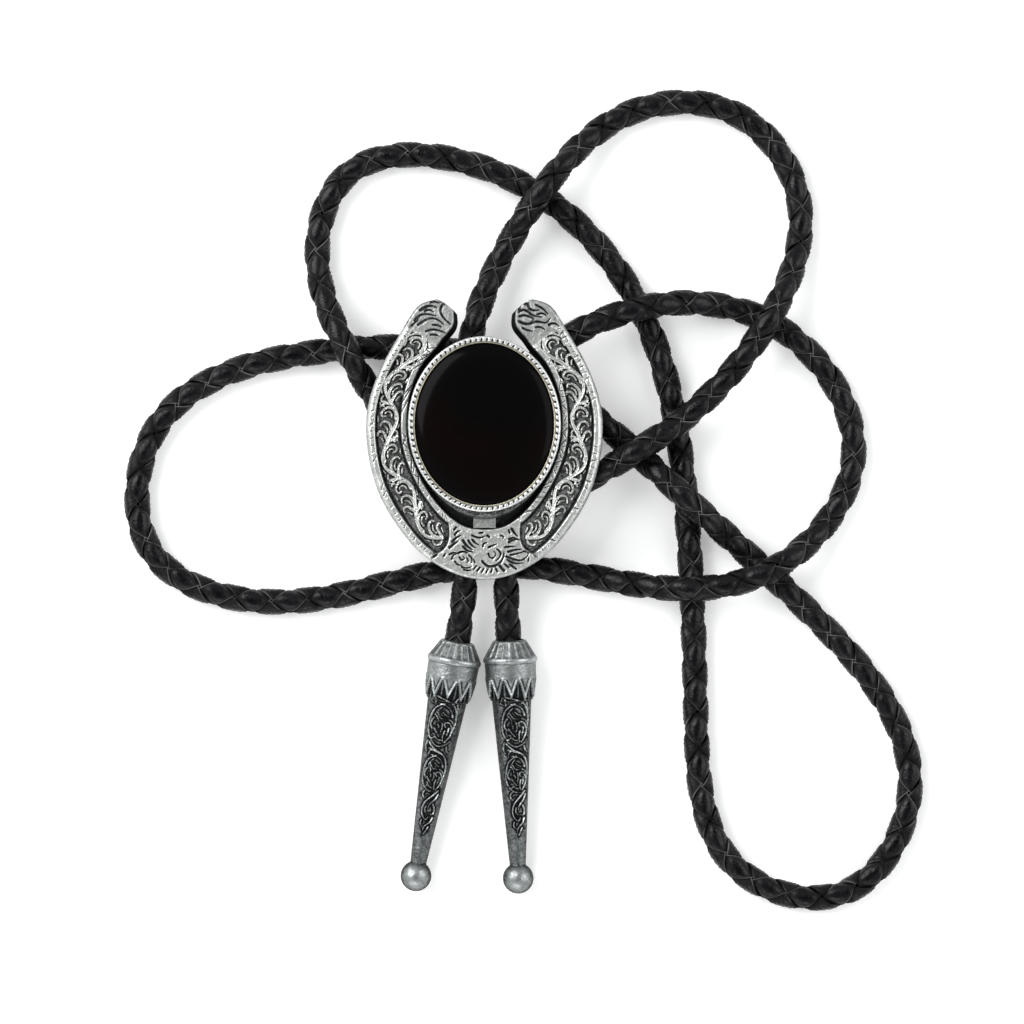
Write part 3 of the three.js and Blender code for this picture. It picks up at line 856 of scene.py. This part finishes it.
# Chased strokes on the toe, about the stone's centre. Rows: half width, then the points
TOE = [
    # flower
    (0.26, [(-0.37, -23.88), (0.34, -24.58), (1.39, -24.75), (2.57, -24.23), (3.27, -23.17),
            (3.41, -22.24)]),
    (0.18, [(2.21, -21.77), (2.76, -22.47), (2.45, -23.41), (1.86, -23.81)]),
    (0.15, [(0.69, -22.47), (0.93, -23.17), (1.51, -23.29), (1.91, -22.7), (1.63, -22.12)]),
    (0.18, [(-0.3, -21.3), (-0.13, -20.83), (0.46, -20.66)]),
    (0.2, [(0.69, -21.46), (1.28, -21.18), (2.1, -20.9)]),
    # leaf to its right
    (0.2, [(3.55, -21.41), (4.45, -21.3), (5.38, -21.23)]),
    (0.2, [(4.2, -20.55), (5.4, -20.05), (6.2, -20.12)]),
    (0.22, [(4.09, -22.23), (5.15, -21.93), (6.56, -21.76)]),
    (0.17, [(4.45, -22.77), (5.62, -22.54), (6.79, -22.23)]),
    (0.22, [(3.86, -23.06), (5.15, -23.53), (6.56, -23.64), (7.5, -22.94)]),
    (0.2, [(3.98, -23.64), (5.38, -24.23), (6.79, -24.11)]),
    (0.15, [(6.79, -22.12), (7.61, -22.47), (7.5, -22.94)]),
    (0.26, [(2.68, -24.7), (3.39, -25.52)]),
    (0.18, [(3.51, -24.35), (4.21, -24.94)]),
    (0.2, [(4.45, -24.47), (5.5, -25.2)]),
    # short strokes below
    (0.15, [(1.98, -25.17), (2.2, -25.7)]),
    (0.16, [(1.28, -25.3), (1.16, -25.8)]),
    (0.15, [(0.57, -25.3), (0.27, -25.9)]),
    (0.16, [(-0.13, -25.17), (-0.48, -25.8)]),
    (0.16, [(-0.76, -24.94), (-1.3, -25.6)]),
    (0.14, [(-1.42, -24.7), (-1.89, -25.29)]),
    # spray above left
    (0.26, [(-3.77, -20.24), (-3.18, -21.06), (-2.13, -21.84)]),
    (0.22, [(-2.83, -20.24), (-2.24, -21.06), (-1.54, -21.53)]),
    (0.2, [(-2.13, -20.12), (-1.54, -20.71), (-1.0, -20.99)]),
    (0.2, [(-3.77, -21.3), (-2.95, -22.0), (-2.01, -22.24)]),
    # small rosette
    (0.18, [(-6.12, -22.7), (-5.41, -22.4), (-4.59, -22.54)]),
    (0.15, [(-5.76, -23.53), (-5.41, -22.87), (-4.82, -22.59)]),
    (0.2, [(-4.59, -22.47), (-3.77, -22.17), (-2.95, -22.47)]),
    (0.18, [(-2.71, -22.82), (-2.24, -23.41), (-2.36, -24.23)]),
    (0.16, [(-4.36, -23.17), (-4.0, -23.64), (-3.53, -23.41), (-3.77, -22.94)]),
    (0.15, [(-3.06, -23.29), (-2.83, -23.88), (-3.18, -24.23)]),
    (0.17, [(-5.18, -23.88), (-4.59, -24.47), (-4.0, -24.58)]),
    (0.17, [(-4.0, -24.82), (-3.18, -25.05), (-2.24, -24.82)]),
    (0.14, [(-3.65, -25.29), (-2.83, -25.5), (-2.13, -25.36)]),
    (0.16, [(-1.89, -23.53), (-1.7, -24.11)]),
    (0.15, [(-6.82, -22.59), (-7.17, -23.06)]),
    # corners
    (0.24, [(-6.1, -21.5), (-5.41, -20.95), (-4.59, -20.36)]),
    (0.22, [(-5.6, -20.5), (-5.06, -19.89), (-4.12, -19.35)]),
    (0.2, [(-5.2, -19.3), (-4.71, -18.72), (-4.12, -18.48)]),
    (0.18, [(-5.3, -18.4), (-4.96, -17.95)]),
    (0.26, [(-9.2, -23.3), (-8.4, -22.7)]),
    (0.28, [(9.4, -23.3), (8.8, -22.8)]),
    (0.24, [(4.73, -18.2), (5.2, -18.95), (5.8, -19.5)]),
    (0.17, [(4.21, -20.05), (4.9, -19.77), (5.7, -19.95)]),
    (0.14, [(4.2, -18.4), (4.4, -19.0)]),
    (0.14, [(7.73, -23.3), (7.61, -23.9)]),
    # dents along the inner edge
    (0.2, [(-2.17, -19.35), (-1.42, -19.65), (-0.48, -19.72), (0.1, -19.49)]),
    (0.22, [(0.5, -19.4), (0.8, -19.6)]),
    (0.17, [(2.8, -19.35), (3.27, -19.65), (3.15, -20.0)]),
    (0.13, [(-0.95, -18.95), (-0.25, -18.9)]),
]

# Soft waves across the two heels, about the stone's centre. Rows: half width, then the points
HEELS = [
    (0.24, [(-7.29, 20.83), (-7.68, 19.85), (-6.9, 18.28), (-5.9, 17.4)]),
    (0.24, [(-12.18, 18.09), (-11.0, 19.07), (-9.64, 19.14), (-8.46, 18.87)]),
    (0.24, [(-11.59, 17.31), (-10.42, 18.09), (-9.05, 18.48), (-7.68, 17.89), (-7.09, 17.31)]),
    (0.26, [(-11.2, 19.85), (-10.22, 20.44), (-9.05, 20.63), (-8.27, 20.24)]),
    (0.2, [(-10.42, 19.75), (-9.64, 19.94), (-8.85, 19.55)]),
    (0.2, [(-9.44, 21.22), (-8.66, 21.34), (-7.88, 21.1)]),
    (0.22, [(-10.22, 16.2), (-9.05, 16.5), (-7.88, 16.33), (-6.9, 15.94)]),
    (0.2, [(-9.4, 15.6), (-8.65, 15.6), (-7.88, 15.35)]),
    (0.2, [(-9.05, 17.31), (-8.07, 17.23), (-7.48, 16.84)]),
    (0.2, [(-12.9, 17.1), (-12.3, 17.5), (-11.5, 18.4)]),
    (0.26, [(7.57, 21.1), (7.77, 20.24), (8.55, 19.85), (9.53, 19.93)]),
    (0.24, [(6.0, 19.6), (6.8, 19.93), (7.38, 19.73), (8.16, 19.14), (10.11, 18.68)]),
    (0.24, [(6.1, 18.8), (6.9, 19.0), (7.77, 18.75), (8.55, 18.28), (8.16, 17.9)]),
    (0.26, [(6.0, 17.9), (6.8, 17.58), (7.77, 17.5), (9.33, 17.9), (10.7, 17.7), (11.48, 18.48)]),
    (0.2, [(6.3, 20.44), (6.8, 20.83), (7.2, 20.63)]),
    (0.2, [(8.9, 20.83), (10.11, 20.15), (11.09, 19.17)]),
    (0.22, [(11.2, 17.3), (12.1, 17.6), (13.0, 17.11)]),
    (0.2, [(6.6, 16.8), (7.4, 16.43), (8.4, 16.2)]),
    (0.2, [(8.9, 16.9), (9.8, 16.9), (10.5, 16.5)]),
    (0.2, [(9.2, 19.1), (10.0, 19.35), (10.8, 18.9)]),
]


def chased_strokes(table):
    return [through(points, width, 0.35) if len(points) > 2 else (np.array(points), width)
            for width, points in table]


def rim_cuts(seed):
    """Rows of short ticks along the two rims, with slanting cuts between them."""
    chance = np.random.default_rng(seed)
    cuts = []
    for row in np.arange(-TOE_ROW + 1.2, TOE_ROW - 1.2, 0.27):
        width = float(band_place(row, 0.0)[1])
        group = math.sin(1.3 * row) + math.sin(0.57 * row + 1)
        outer = width - OUTER_BEVEL - 0.45 * OUTER_RIM
        if abs(row) > 2 and group > -0.9:
            cuts.append(rim_cut(row, outer, 0.22, chance.uniform(-0.02, 0.02), 0.11))
        if group < 0.1:
            cuts.append(rim_cut(row, INNER_RIM / 2, 0.26, chance.uniform(-0.12, 0.12), 0.09))
        if chance.random() < 0.2:
            cuts.append(rim_cut(row, outer, 0.4, chance.uniform(0.02, 0.09), 0.12))
        if chance.random() < 0.2:
            cuts.append(rim_cut(row, INNER_RIM / 2, 0.42, chance.uniform(0.1, 0.3), 0.11))
    return cuts


def rim_cut(row, middle, length, lean, width):
    ends = [band_place(row - lean, middle - length)[0], band_place(row + lean, middle + length)[0]]
    return np.array(ends), width


def band_relief(row, width, distance, plan):
    """Height and shade of the horseshoe's face at each of its points."""
    x, y = plan[..., 0], plan[..., 1]
    wide = width[:, None]
    place = np.abs(row)[:, None]
    outer_start = wide - OUTER_RIM - OUTER_BEVEL

    half_channel = (outer_start - INNER_RIM) / 2
    across = (distance - channel_middle(wide)) / half_channel
    low_end = CHANNEL_START + 0.28 * across ** 2
    high_end = CHANNEL_END - 0.3 * (across - 0.25) ** 2
    in_channel = between(place, low_end, high_end, 0.12, 0.12)
    on_pad = 1 - in_channel
    floor = PAD_LEVEL + (CHANNEL_FLOOR - PAD_LEVEL) * in_channel
    on_inner = 1 - smooth((distance - INNER_RIM + 0.22) / 0.3)
    on_outer = smooth((distance - outer_start + 0.08) / 0.3)
    inner_rim = on_inner * between(place, *INNER_RIM_ROWS, 0.2, 0.2)
    outer_rim = on_outer * between(place, *OUTER_RIM_ROWS, 0.2, 0.2)
    rim = np.maximum(inner_rim, outer_rim)
    bevel = np.clip((distance - wide + OUTER_BEVEL) / OUTER_BEVEL, 0, 1)
    inner_edge = np.clip(1 - distance / 0.25, 0, 1)

    height = floor + (RIM_TOP - floor) * rim
    crown_inner = ((distance - INNER_RIM / 2) / (INNER_RIM / 2)) ** 2
    crown_outer = ((distance - wide + OUTER_BEVEL + OUTER_RIM / 2) / (OUTER_RIM / 2)) ** 2
    height -= RIM_CROWN * rim * np.clip(np.minimum(crown_inner, crown_outer), 0, 1) ** 2
    height -= (height - WALL_TOP) * bevel ** 1.3
    height -= INNER_EDGE_DROP * inner_edge ** 2

    strokes, veins = channel_strokes()
    vine = stroke_nearness(x, y, strokes)
    vein = rounded(stroke_nearness(x, y, veins))
    in_vine_field = in_channel * (1 - rim)
    pad = on_pad * (1 - rim) * (1 - bevel)
    chased = rounded(0.85 * stroke_nearness(x, y, chased_strokes(TOE + HEELS)))
    chased *= np.maximum(pad, on_pad * smooth((place - OUTER_RIM_ROWS[1]) / 0.5) * (1 - bevel))
    ticked = rounded(stroke_nearness(x, y, rim_cuts(7))) * rim
    hammered = np.sin(2.1 * x + 1.7 * np.sin(1.3 * y)) * np.sin(1.9 * y + 1.5 * np.sin(1.6 * x))
    rough = np.sin(5.1 * x + 1.3 * np.sin(4.3 * y)) * np.sin(4.7 * y + 1.1 * np.sin(5.4 * x))
    heel = smooth((place - 11.9) / 0.8)
    height += (VINE_HEIGHT * smooth((1.12 - vine) / 0.5) - VEIN_DEPTH * vein) * in_vine_field
    height += (HAMMER_DEPTH * hammered + ROUGH_DEPTH * rough) * (on_pad + rim)
    height -= (CHASE_DEPTH - 0.06 * heel) * chased + TICK_DEPTH * ticked

    # Painted shade: the channel's dark ground is darkened further along its border with the rims and right
    # beside the vine's strokes
    border = np.minimum(distance - INNER_RIM, outer_start - distance)
    border = np.minimum(border, 2.6 * np.minimum(place - low_end, high_end - place))
    ground = 0.7 + 0.3 * bell(border - 0.15, 0.22) - 0.06 * rough
    ground = np.maximum(ground, 0.95 * bell(np.maximum(vine - 1.05, 0), 0.6))
    ground = (ground + 0.12) * smooth((vine - 0.86) / 0.22) - 0.12
    mottled = 0.08 * hammered + 0.06 * rough
    shade = in_vine_field * np.maximum(ground, 0.34 * vein)
    shade = np.maximum(shade, on_pad * (1 - rim) * (0.22 + mottled))
    shade = np.maximum(shade, (0.95 - 0.2 * heel) * chased ** 0.7)
    shade = np.maximum(shade, rim * (0.14 + mottled + 0.75 * ticked))
    # Painted shade: the sloping outer bevel is darkened by 0.35 at its full share
    return height, np.clip(shade + 0.16 * heel * on_pad + 0.35 * bevel, -0.1, 1)


def rounded_end(section, before):
    """Sections that draw the flat end of the band out to a round heel."""
    out = np.mean((section - before)[:, :2], axis=0)
    out /= np.linalg.norm(out)
    centre = section.mean(axis=0)[:2]
    drawn = []
    for angle in 0.5 * np.pi * np.arange(1, HEEL_STEPS + 1) / HEEL_STEPS:
        shrink = max(math.cos(angle), 0.02)
        moved = section.copy()
        moved[:, :2] = centre + (moved[:, :2] - centre) * shrink + out * HEEL_BULGE * math.sin(angle)
        moved[:, 2] *= 1 - 0.22 * (1 - shrink) ** 2
        drawn.append(moved)
    return np.array(drawn)


def horseshoe(silver):
    """The casting: walls and chased face swept along the band, round heels, and a plate behind."""
    rows = np.linspace(-TOE_ROW, TOE_ROW, 4000)
    _, width = band_place(rows, np.zeros(len(rows)))
    middle, _ = band_place(rows, width / 2)
    arc = arc_length(middle)
    row = np.interp(np.linspace(0, arc[-1], BAND_RINGS), arc, rows)
    _, width = band_place(row, np.zeros(BAND_RINGS))
    distance = np.linspace(0, 1, BAND_COLUMNS)[None] * width[:, None]
    plan, _ = band_place(np.broadcast_to(row[:, None], distance.shape), distance)
    height, shade = band_relief(row, width, distance, plan)

    draft = 0.35 + 0.5 * smooth((np.abs(row) - 10.5) / 1.5)
    foot, _ = band_place(row, -draft)
    inner = [at_height(foot + (plan[:, 0] - foot) * share, z) for share, z, _ in INNER_WALL]
    face = np.concatenate([plan, height[..., None]], axis=-1)
    outer = [at_height(plan[:, -1], z) for z, _ in OUTER_WALL]
    ring = np.concatenate([np.stack(inner, axis=1), face, np.stack(outer, axis=1)], axis=1)
    inner_shade = np.tile([step[-1] for step in INNER_WALL], (BAND_RINGS, 1))
    outer_shade = np.tile([step[-1] for step in OUTER_WALL], (BAND_RINGS, 1))
    dark = np.concatenate([inner_shade, shade, outer_shade], axis=1)

    first = rounded_end(ring[0], ring[1])[::-1]
    last = rounded_end(ring[-1], ring[-2])
    ring = np.concatenate([first, ring, last])
    dark = np.concatenate([np.tile(dark[0], (HEEL_STEPS, 1)), dark, np.tile(dark[-1], (HEEL_STEPS, 1))])
    build = Build()
    faces = tube_faces(*ring.shape[:2])
    build.add(ring + (0, STONE_Y, SLIDE_BACK), [face[::-1] for face in faces], shade=dark)
    add_base_plate(build)
    return build.piece("horseshoe_cast", silver, sharp=60)


def add_base_plate(build):
    """Plate that fills the horseshoe under the setting, painted dark as the shade under it."""
    rows = np.linspace(-11.9, 11.9, 90)
    edge, _ = band_place(rows, np.full(len(rows), 0.5))
    first = math.atan2(edge[-1, 1] / SETTING_B, edge[-1, 0] / SETTING_A)
    angles = np.linspace(first, np.pi - first, 40)[1:-1]
    outline = np.concatenate([edge, ellipse(SETTING_A, SETTING_B, angles) * 0.985])
    rings = [at_height(outline * scale, z) for scale, z in PLATE_PROFILE]
    points = np.array(rings) + (0, STONE_Y, SLIDE_BACK)
    build.add(points, tube_faces(*points.shape[:2]), shade=0.92)


# Setting and stone

def oval_sweep(build, profile, count):
    """Closed profile swept round the oval of the setting, its foot drawn out towards the toe."""
    angle = np.linspace(0, 2 * np.pi, count, endpoint=False)
    towards_toe = np.maximum(-np.sin(angle), 0) ** 3
    rings = []
    for inset, z, drawn, _, _ in profile:
        ring = at_height(ellipse(SETTING_A - inset, SETTING_B - inset, angle), z)
        ring[:, 1] -= SKIRT_DROP * drawn * towards_toe
        rings.append(ring)
    points = np.array(rings) + (0, STONE_Y, SETTING_BASE)
    shade, warm = (np.repeat([row[k] for row in profile], count) for k in (3, 4))
    build.add(points, tube_faces(len(rings), count), shade=shade, warm=warm)


def ticked_rim(build):
    """Rounded rim on the top edge of the setting, with short slanting ticks."""
    rings = RIM_TICKS * RINGS_PER_TICK
    t = np.linspace(0, 2 * np.pi, rings, endpoint=False)[:, None]
    q = np.linspace(-0.35, np.pi + 0.55, 15)[None]
    half = RIM_WIDTH / 2
    a = SETTING_A - half
    b = SETTING_B - half
    normal = np.stack([b * np.cos(t), a * np.sin(t)], axis=-1)
    normal /= np.linalg.norm(normal, axis=-1, keepdims=True)
    twist = np.cos(RIM_TICKS * t + 0.9 * np.cos(q))
    tick = smooth((-0.15 - twist) / 0.5) * smooth((0.66 - np.abs(np.cos(q) + 0.25)) / 0.2)
    flat = half * np.cos(q) * (1 - 0.06 * tick)
    x = a * np.cos(t) + normal[..., 0] * flat
    y = b * np.sin(t) + normal[..., 1] * flat
    z = RIM_MIDDLE + RIM_RISE * np.sin(q) - 0.13 * tick + 0.02 * twist
    points = np.stack([x, y + STONE_Y, z + SETTING_BASE], axis=-1)
    # Painted shade: the rim darkens towards its sides and underside, away from its top; the ticks are dark
    # cuts
    shade = 0.08 + 0.85 * tick + 0.1 * (1 - np.sin(q)) + 0 * t
    sides = points.shape[1]
    faces = grid_faces(rings + 1, sides) % (rings * sides)
    build.add(points, faces[:, ::-1].tolist(), shade=shade)


def toe_tab(build):
    """Small bevelled tab between the setting and the toe."""
    half = TAB["width"] / 2
    rings = []
    for inset, z in ((0, 0), (0, TAB["top"] - TAB["bevel"]), (TAB["bevel"], TAB["top"])):
        x0, x1 = -half + inset, half - inset
        y0, y1 = TAB["end"] + inset, TAB["start"]
        rings.append([(x0, y0, z), (x1, y0, z), (x1, y1, z), (x0, y1, z)])
    build.add(np.array(rings) + (0, STONE_Y, SETTING_BASE), tube_faces(3, 4), shade=0.5)


def setting(silver):
    build = Build()
    oval_sweep(build, SETTING_PROFILE, 360)
    ticked_rim(build)
    toe_tab(build)
    return build.piece("setting_cup", silver, sharp=40)


def stone(material):
    """Oval cabochon: a straight girdle and a low dome."""
    rings, count = 44, 160
    angle = np.linspace(0, 2 * np.pi, count, endpoint=False)
    profile = [(0.02, 0.0), (0.97, 0.0), (1.0, 0.3), (1.0, STONE_GIRDLE)]
    for k in range(1, rings):
        q = 0.5 * np.pi * k / rings
        profile.append((math.cos(q) ** 0.9, STONE_GIRDLE + STONE_DOME * math.sin(q)))
    outline = ellipse(STONE_A, STONE_B, angle)
    points = [at_height(outline * scale, z) for scale, z in profile]
    build = Build()
    build.add(np.array(points) + (0, STONE_Y, STONE_BASE), tube_faces(len(profile), count))
    return build.piece("stone_dome", material, sharp=50)


# Tips

# Scrollwork in one oval of a tip. Rows: half width, then the points as shares of the oval's half sizes
OVAL = [
    (0.15, [(-0.04, -0.94), (-0.65, -0.65), (-0.96, -0.18), (-1.04, 0.3), (-0.92, 0.76), (-0.55, 1.0),
            (-0.36, 0.8), (-0.58, 0.72)]),
    (0.15, [(-0.81, -1.3), (-0.04, -1.16), (0.58, -0.98), (0.96, -0.53), (1.04, -0.12), (0.92, 0.29),
            (0.74, 0.76)]),
    (0.12, [(-0.5, -0.94), (0.04, -0.86), (0.5, -0.63), (0.69, -0.35)]),
    (0.2, [(0.68, -0.38), (0.7, -0.33), (0.71, -0.28)]),
    (0.13, [(-0.42, -0.41), (-0.15, -0.15), (0.23, -0.12)]),
    (0.12, [(-0.04, -0.47), (0.15, -0.36), (0.4, -0.3)]),
    (0.14, [(-0.62, -0.14), (-0.84, 0.12), (-0.82, 0.35), (-0.6, 0.5)]),
    (0.13, [(-0.55, 0.4), (-0.3, 0.64), (-0.05, 0.85)]),
    (0.14, [(0.31, 0.29), (0.18, 0.15), (0.38, 0.03), (0.73, 0.21), (0.82, 0.53), (0.62, 0.88),
            (0.38, 1.12)]),
    (0.14, [(0.3, 0.5), (0.2, 0.8), (0.26, 1.1)]),
    (0.14, [(-0.28, 0.22), (-0.2, 0.3), (-0.22, 0.4)]),
    (0.13, [(-0.2, -0.72), (-0.45, -0.5), (-0.62, -0.3)]),
    (0.12, [(-0.55, -0.28), (-0.3, 0.0), (-0.32, 0.12)]),
    (0.13, [(0.5, -0.12), (0.72, -0.05), (0.86, 0.08)]),
    (0.13, [(0.02, 0.1), (0.06, 0.4), (-0.02, 0.6)]),
    (0.13, [(-0.3, 0.9), (-0.12, 1.0), (0.1, 1.02)]),
    (0.13, [(0.55, 0.32), (0.52, 0.55), (0.44, 0.75)]),
]

# Ovals down the front of a tip. Columns: middle to the right and from the mouth, half width, half length
OVALS = [
    (0.0, 14.1, 2.45, 3.3),
    (0.05, 23.0, 2.0, 2.95),
]

# Stems and leaves around the ovals. Rows: half width, then the points to the right and from the mouth
STEMS = [
    (0.17, [(-1.75, 18.1), (-0.4, 19.25), (1.1, 20.0), (1.9, 21.2)]),
    (0.14, [(-1.6, 17.6), (-0.1, 18.6), (1.4, 18.0), (2.2, 17.3)]),
    (0.13, [(-2.2, 17.9), (-2.45, 19.0), (-2.0, 19.9)]),
    (0.14, [(1.5, 18.5), (1.7, 19.2), (2.2, 19.6)]),
    (0.14, [(-0.9, 19.3), (-1.4, 19.8), (-1.5, 20.4)]),
    (0.14, [(-2.7, 9.9), (-2.1, 10.3), (-1.7, 11.2)]),
    (0.14, [(-2.8, 10.1), (-2.7, 10.9), (-1.8, 11.3)]),
    (0.13, [(2.2, 10.4), (2.5, 12.0), (2.4, 13.6)]),
    (0.15, [(2.6, 9.6), (2.0, 10.4), (1.2, 11.0)]),
    (0.16, [(1.4, 26.4), (0.3, 27.6), (-0.6, 28.7), (-0.95, 30.0), (-0.6, 31.2), (0.1, 31.7),
            (0.35, 31.2)]),
    (0.13, [(-1.4, 25.9), (-0.4, 26.6), (0.9, 26.7)]),
    (0.14, [(1.5, 27.0), (1.0, 28.1), (0.3, 28.9), (0.1, 29.8)]),
    (0.14, [(0.9, 28.9), (1.25, 29.8), (1.0, 30.7), (0.5, 30.6)]),
    (0.14, [(-0.3, 29.4), (-0.35, 30.2), (0.0, 30.6)]),
    (0.13, [(-0.9, 26.6), (-1.3, 27.3), (-0.95, 28.0), (-0.4, 27.5)]),
    (0.14, [(1.2, 31.2), (0.8, 32.1), (0.1, 32.8), (-0.2, 33.7)]),
    (0.13, [(-0.7, 31.9), (-0.75, 32.7), (-0.3, 33.2)]),
    (0.13, [(0.7, 32.9), (0.4, 33.6), (0.0, 34.4)]),
]


def tip_strokes():
    """Vine down the front of a tip, as distance to the right and distance from the mouth."""
    strokes = []
    for middle, centre, half_width, half_length in OVALS:
        for width, points in OVAL:
            placed = [(middle + half_width * u, centre + half_length * v) for u, v in points]
            strokes.append(through(placed, width * (0.7 + 0.12 * half_width), 0.7))
    strokes += [through(points, width, 0.6) for width, points in STEMS]
    return strokes


def tip_relief(q, z, radius, turn):
    """Radius and shade of a tip at each angle round it and distance from its mouth."""
    across = -(q + turn) * radius
    r = radius + 0 * q
    z = z + 0 * q
    on_cone = between(z, *CONE, 0.25, 0.15)
    rib = smooth((np.abs(np.cos(0.5 * TIP_FLUTES * q)) - 0.86) / 0.1)
    r -= on_cone * FLUTE_DEPTH * (1 - rib)

    tooth = np.abs(((q / (2 * np.pi) * TIP_TEETH) % 1) - 0.5) * 2
    depth = 10.2 - 3.6 * (1 - tooth) - z
    on_teeth = between(z, *TEETH, 0.15, 0.1)
    gap = on_teeth * smooth(-depth / 0.18)
    vein = gap * bell(tooth, 0.12)
    groove = on_teeth * bell(depth - 1.55, 0.5) * smooth((z - 6.5) / 0.2)
    ridge = on_teeth * bell(depth - 0.4, 0.36)
    r -= GAP_DEPTH * gap + GROOVE_DEPTH * groove - RIDGE_HEIGHT * ridge - 0.14 * vein

    vine = stroke_nearness(across, z, tip_strokes(), 5.0)
    stroke = rounded(vine)
    field = between(z, *VINE_FIELD, 0.6, 0.6) * np.maximum(smooth((z - 10.7) / 0.1), gap)
    near = bell(np.maximum(vine - 1.0, 0), 2.4) * field
    r += TIP_VINE_HEIGHT * field * stroke - TIP_VINE_MOAT * near
    rough = np.sin(2.1 * across + 1.7 * z) * np.sin(3.3 * z - 1.2 * across)
    pitted = np.sin(6.1 * across + 1.7 * np.sin(3.1 * z)) * np.sin(5.3 * z - 1.9 * np.sin(4.2 * across))
    r += (0.004 * rough + 0.008 * pitted) * (z < 39) * smooth((z - 0.3) / 0.3)

    # Painted shade: the sides and underside of the tip are darkened by 0.2
    sides = smooth((np.abs(q) - 0.7) / 0.8)
    body = smooth((z - 10.4) / 0.2)
    shade = 0.4 + 0.24 * body + 0.04 * rough + 0.06 * pitted + 0.2 * sides
    shade = shade + 0.12 * on_cone * (1 - rib) - 0.2 * on_cone * rib
    shade = np.maximum(shade, 0.95 * gap - 0.4 * vein)
    shade = np.maximum(shade, 0.9 * groove)
    shade = shade - 0.38 * ridge * (1 - gap)
    shade = shade + 0.5 * near * smooth((vine - 0.7) / 0.4)
    shade = shade - 0.7 * field * stroke
    shade = shade - 0.3 * bell(z - BEAD_AT, 0.35)
    for middle, width, darkness in TIP_LINES:
        shade = np.maximum(shade, darkness * bell(z - middle, width))
    # Painted shade on the ball: lightest on its front, darker towards its rim, its neck and its far end
    facing = np.cos(q) * np.sqrt(np.clip(1 - ((z - BALL_AT) / BALL_R) ** 2, 0, 1))
    on_ball = z > BALL_AT - math.sqrt(BALL_R ** 2 - NECK_R ** 2) - 0.01
    shade = np.where(on_ball, 0.3 + 0.6 * smooth((0.97 - facing) / 0.7), shade)
    return r, np.clip(shade, 0, 1)


def cast_tip(name, material):
    """Hollow at the mouth, turned along its length, with a ball at the end."""
    along = np.concatenate([np.linspace(a, b, rings, endpoint=False) for a, b, rings in TIP_STEPS])
    ball = np.linspace(math.asin(NECK_R / BALL_R), np.pi - 0.03, BALL_RINGS)
    radius = np.concatenate([np.interp(along, *np.array(TIP_ROWS).T), BALL_R * np.sin(ball)])
    along = np.concatenate([along, BALL_AT - BALL_R * np.cos(ball)])
    x0, y0, heading, turn = TIP_PLACES[name]
    q = np.linspace(-np.pi, np.pi, TIP_SECTORS, endpoint=False)[None]
    r, shade = tip_relief(q, along[:, None], radius[:, None], turn)

    bore = CORD_R + SOCKET_ROOM
    deep = SOCKET_DEPTH + 0.6
    # Painted shade: the bore of the socket is painted fully dark, its lip half dark
    socket = np.array([(deep, 0.02, 1.0), (deep, bore, 1.0), (0.06, bore, 1.0), (0.0, bore + 0.08, 0.5)])
    z = np.concatenate([socket[:, 0], along])[:, None]
    wall = np.ones((1, TIP_SECTORS))
    r = np.concatenate([socket[:, 1:2] * wall, r])
    shade = np.concatenate([socket[:, 2:] * wall, shade])

    fall = math.asin((COLLAR_Z - BALL_R) / (BALL_AT - COLLAR_AT))
    level = math.radians(heading)
    axis = np.array([math.cos(level) * math.cos(fall), math.sin(level) * math.cos(fall), -math.sin(fall)])
    side = np.cross(axis, (0, 0, 1))
    side /= np.linalg.norm(side)
    front = np.cross(side, axis)
    mouth = np.array([x0, y0, COLLAR_Z + math.sin(fall) * COLLAR_AT])
    out = np.cos(q)[..., None] * front + np.sin(q)[..., None] * side
    build = Build()
    points = mouth + z[..., None] * axis + r[..., None] * out
    build.add(points, tube_faces(len(z), TIP_SECTORS), shade=shade)
    return build.piece(name + "_cast", material, sharp=60)


add_camera()
add_studio()

leather = black_leather()
silver = patina_and_shade_metal("antique_silver", **SILVER, polish=0.38, dull=0.55, grain=0.25)
pewter = patina_and_shade_metal("dark_pewter", **PEWTER, polish=0.36, dull=0.52, grain=0.3)

braid, cord_middle = braided_cord(leather)
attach(braid, "root")
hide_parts("cord")

horseshoe_cast = horseshoe(silver)
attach(horseshoe_cast, "root")
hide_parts("horseshoe")

setting_cup = setting(silver)
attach(setting_cup, "root")
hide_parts("setting")

stone_dome = stone(black_stone())
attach(stone_dome, "root")
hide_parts("stone")

for node in TIP_PLACES:
    cast = cast_tip(node, pewter)
    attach(cast, "root")
    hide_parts(node)

# The clip keeps the shape of its node
clip = bpy.data.objects["back_clip"]
clip.data.materials.clear()
clip.data.materials.append(plain_metal())
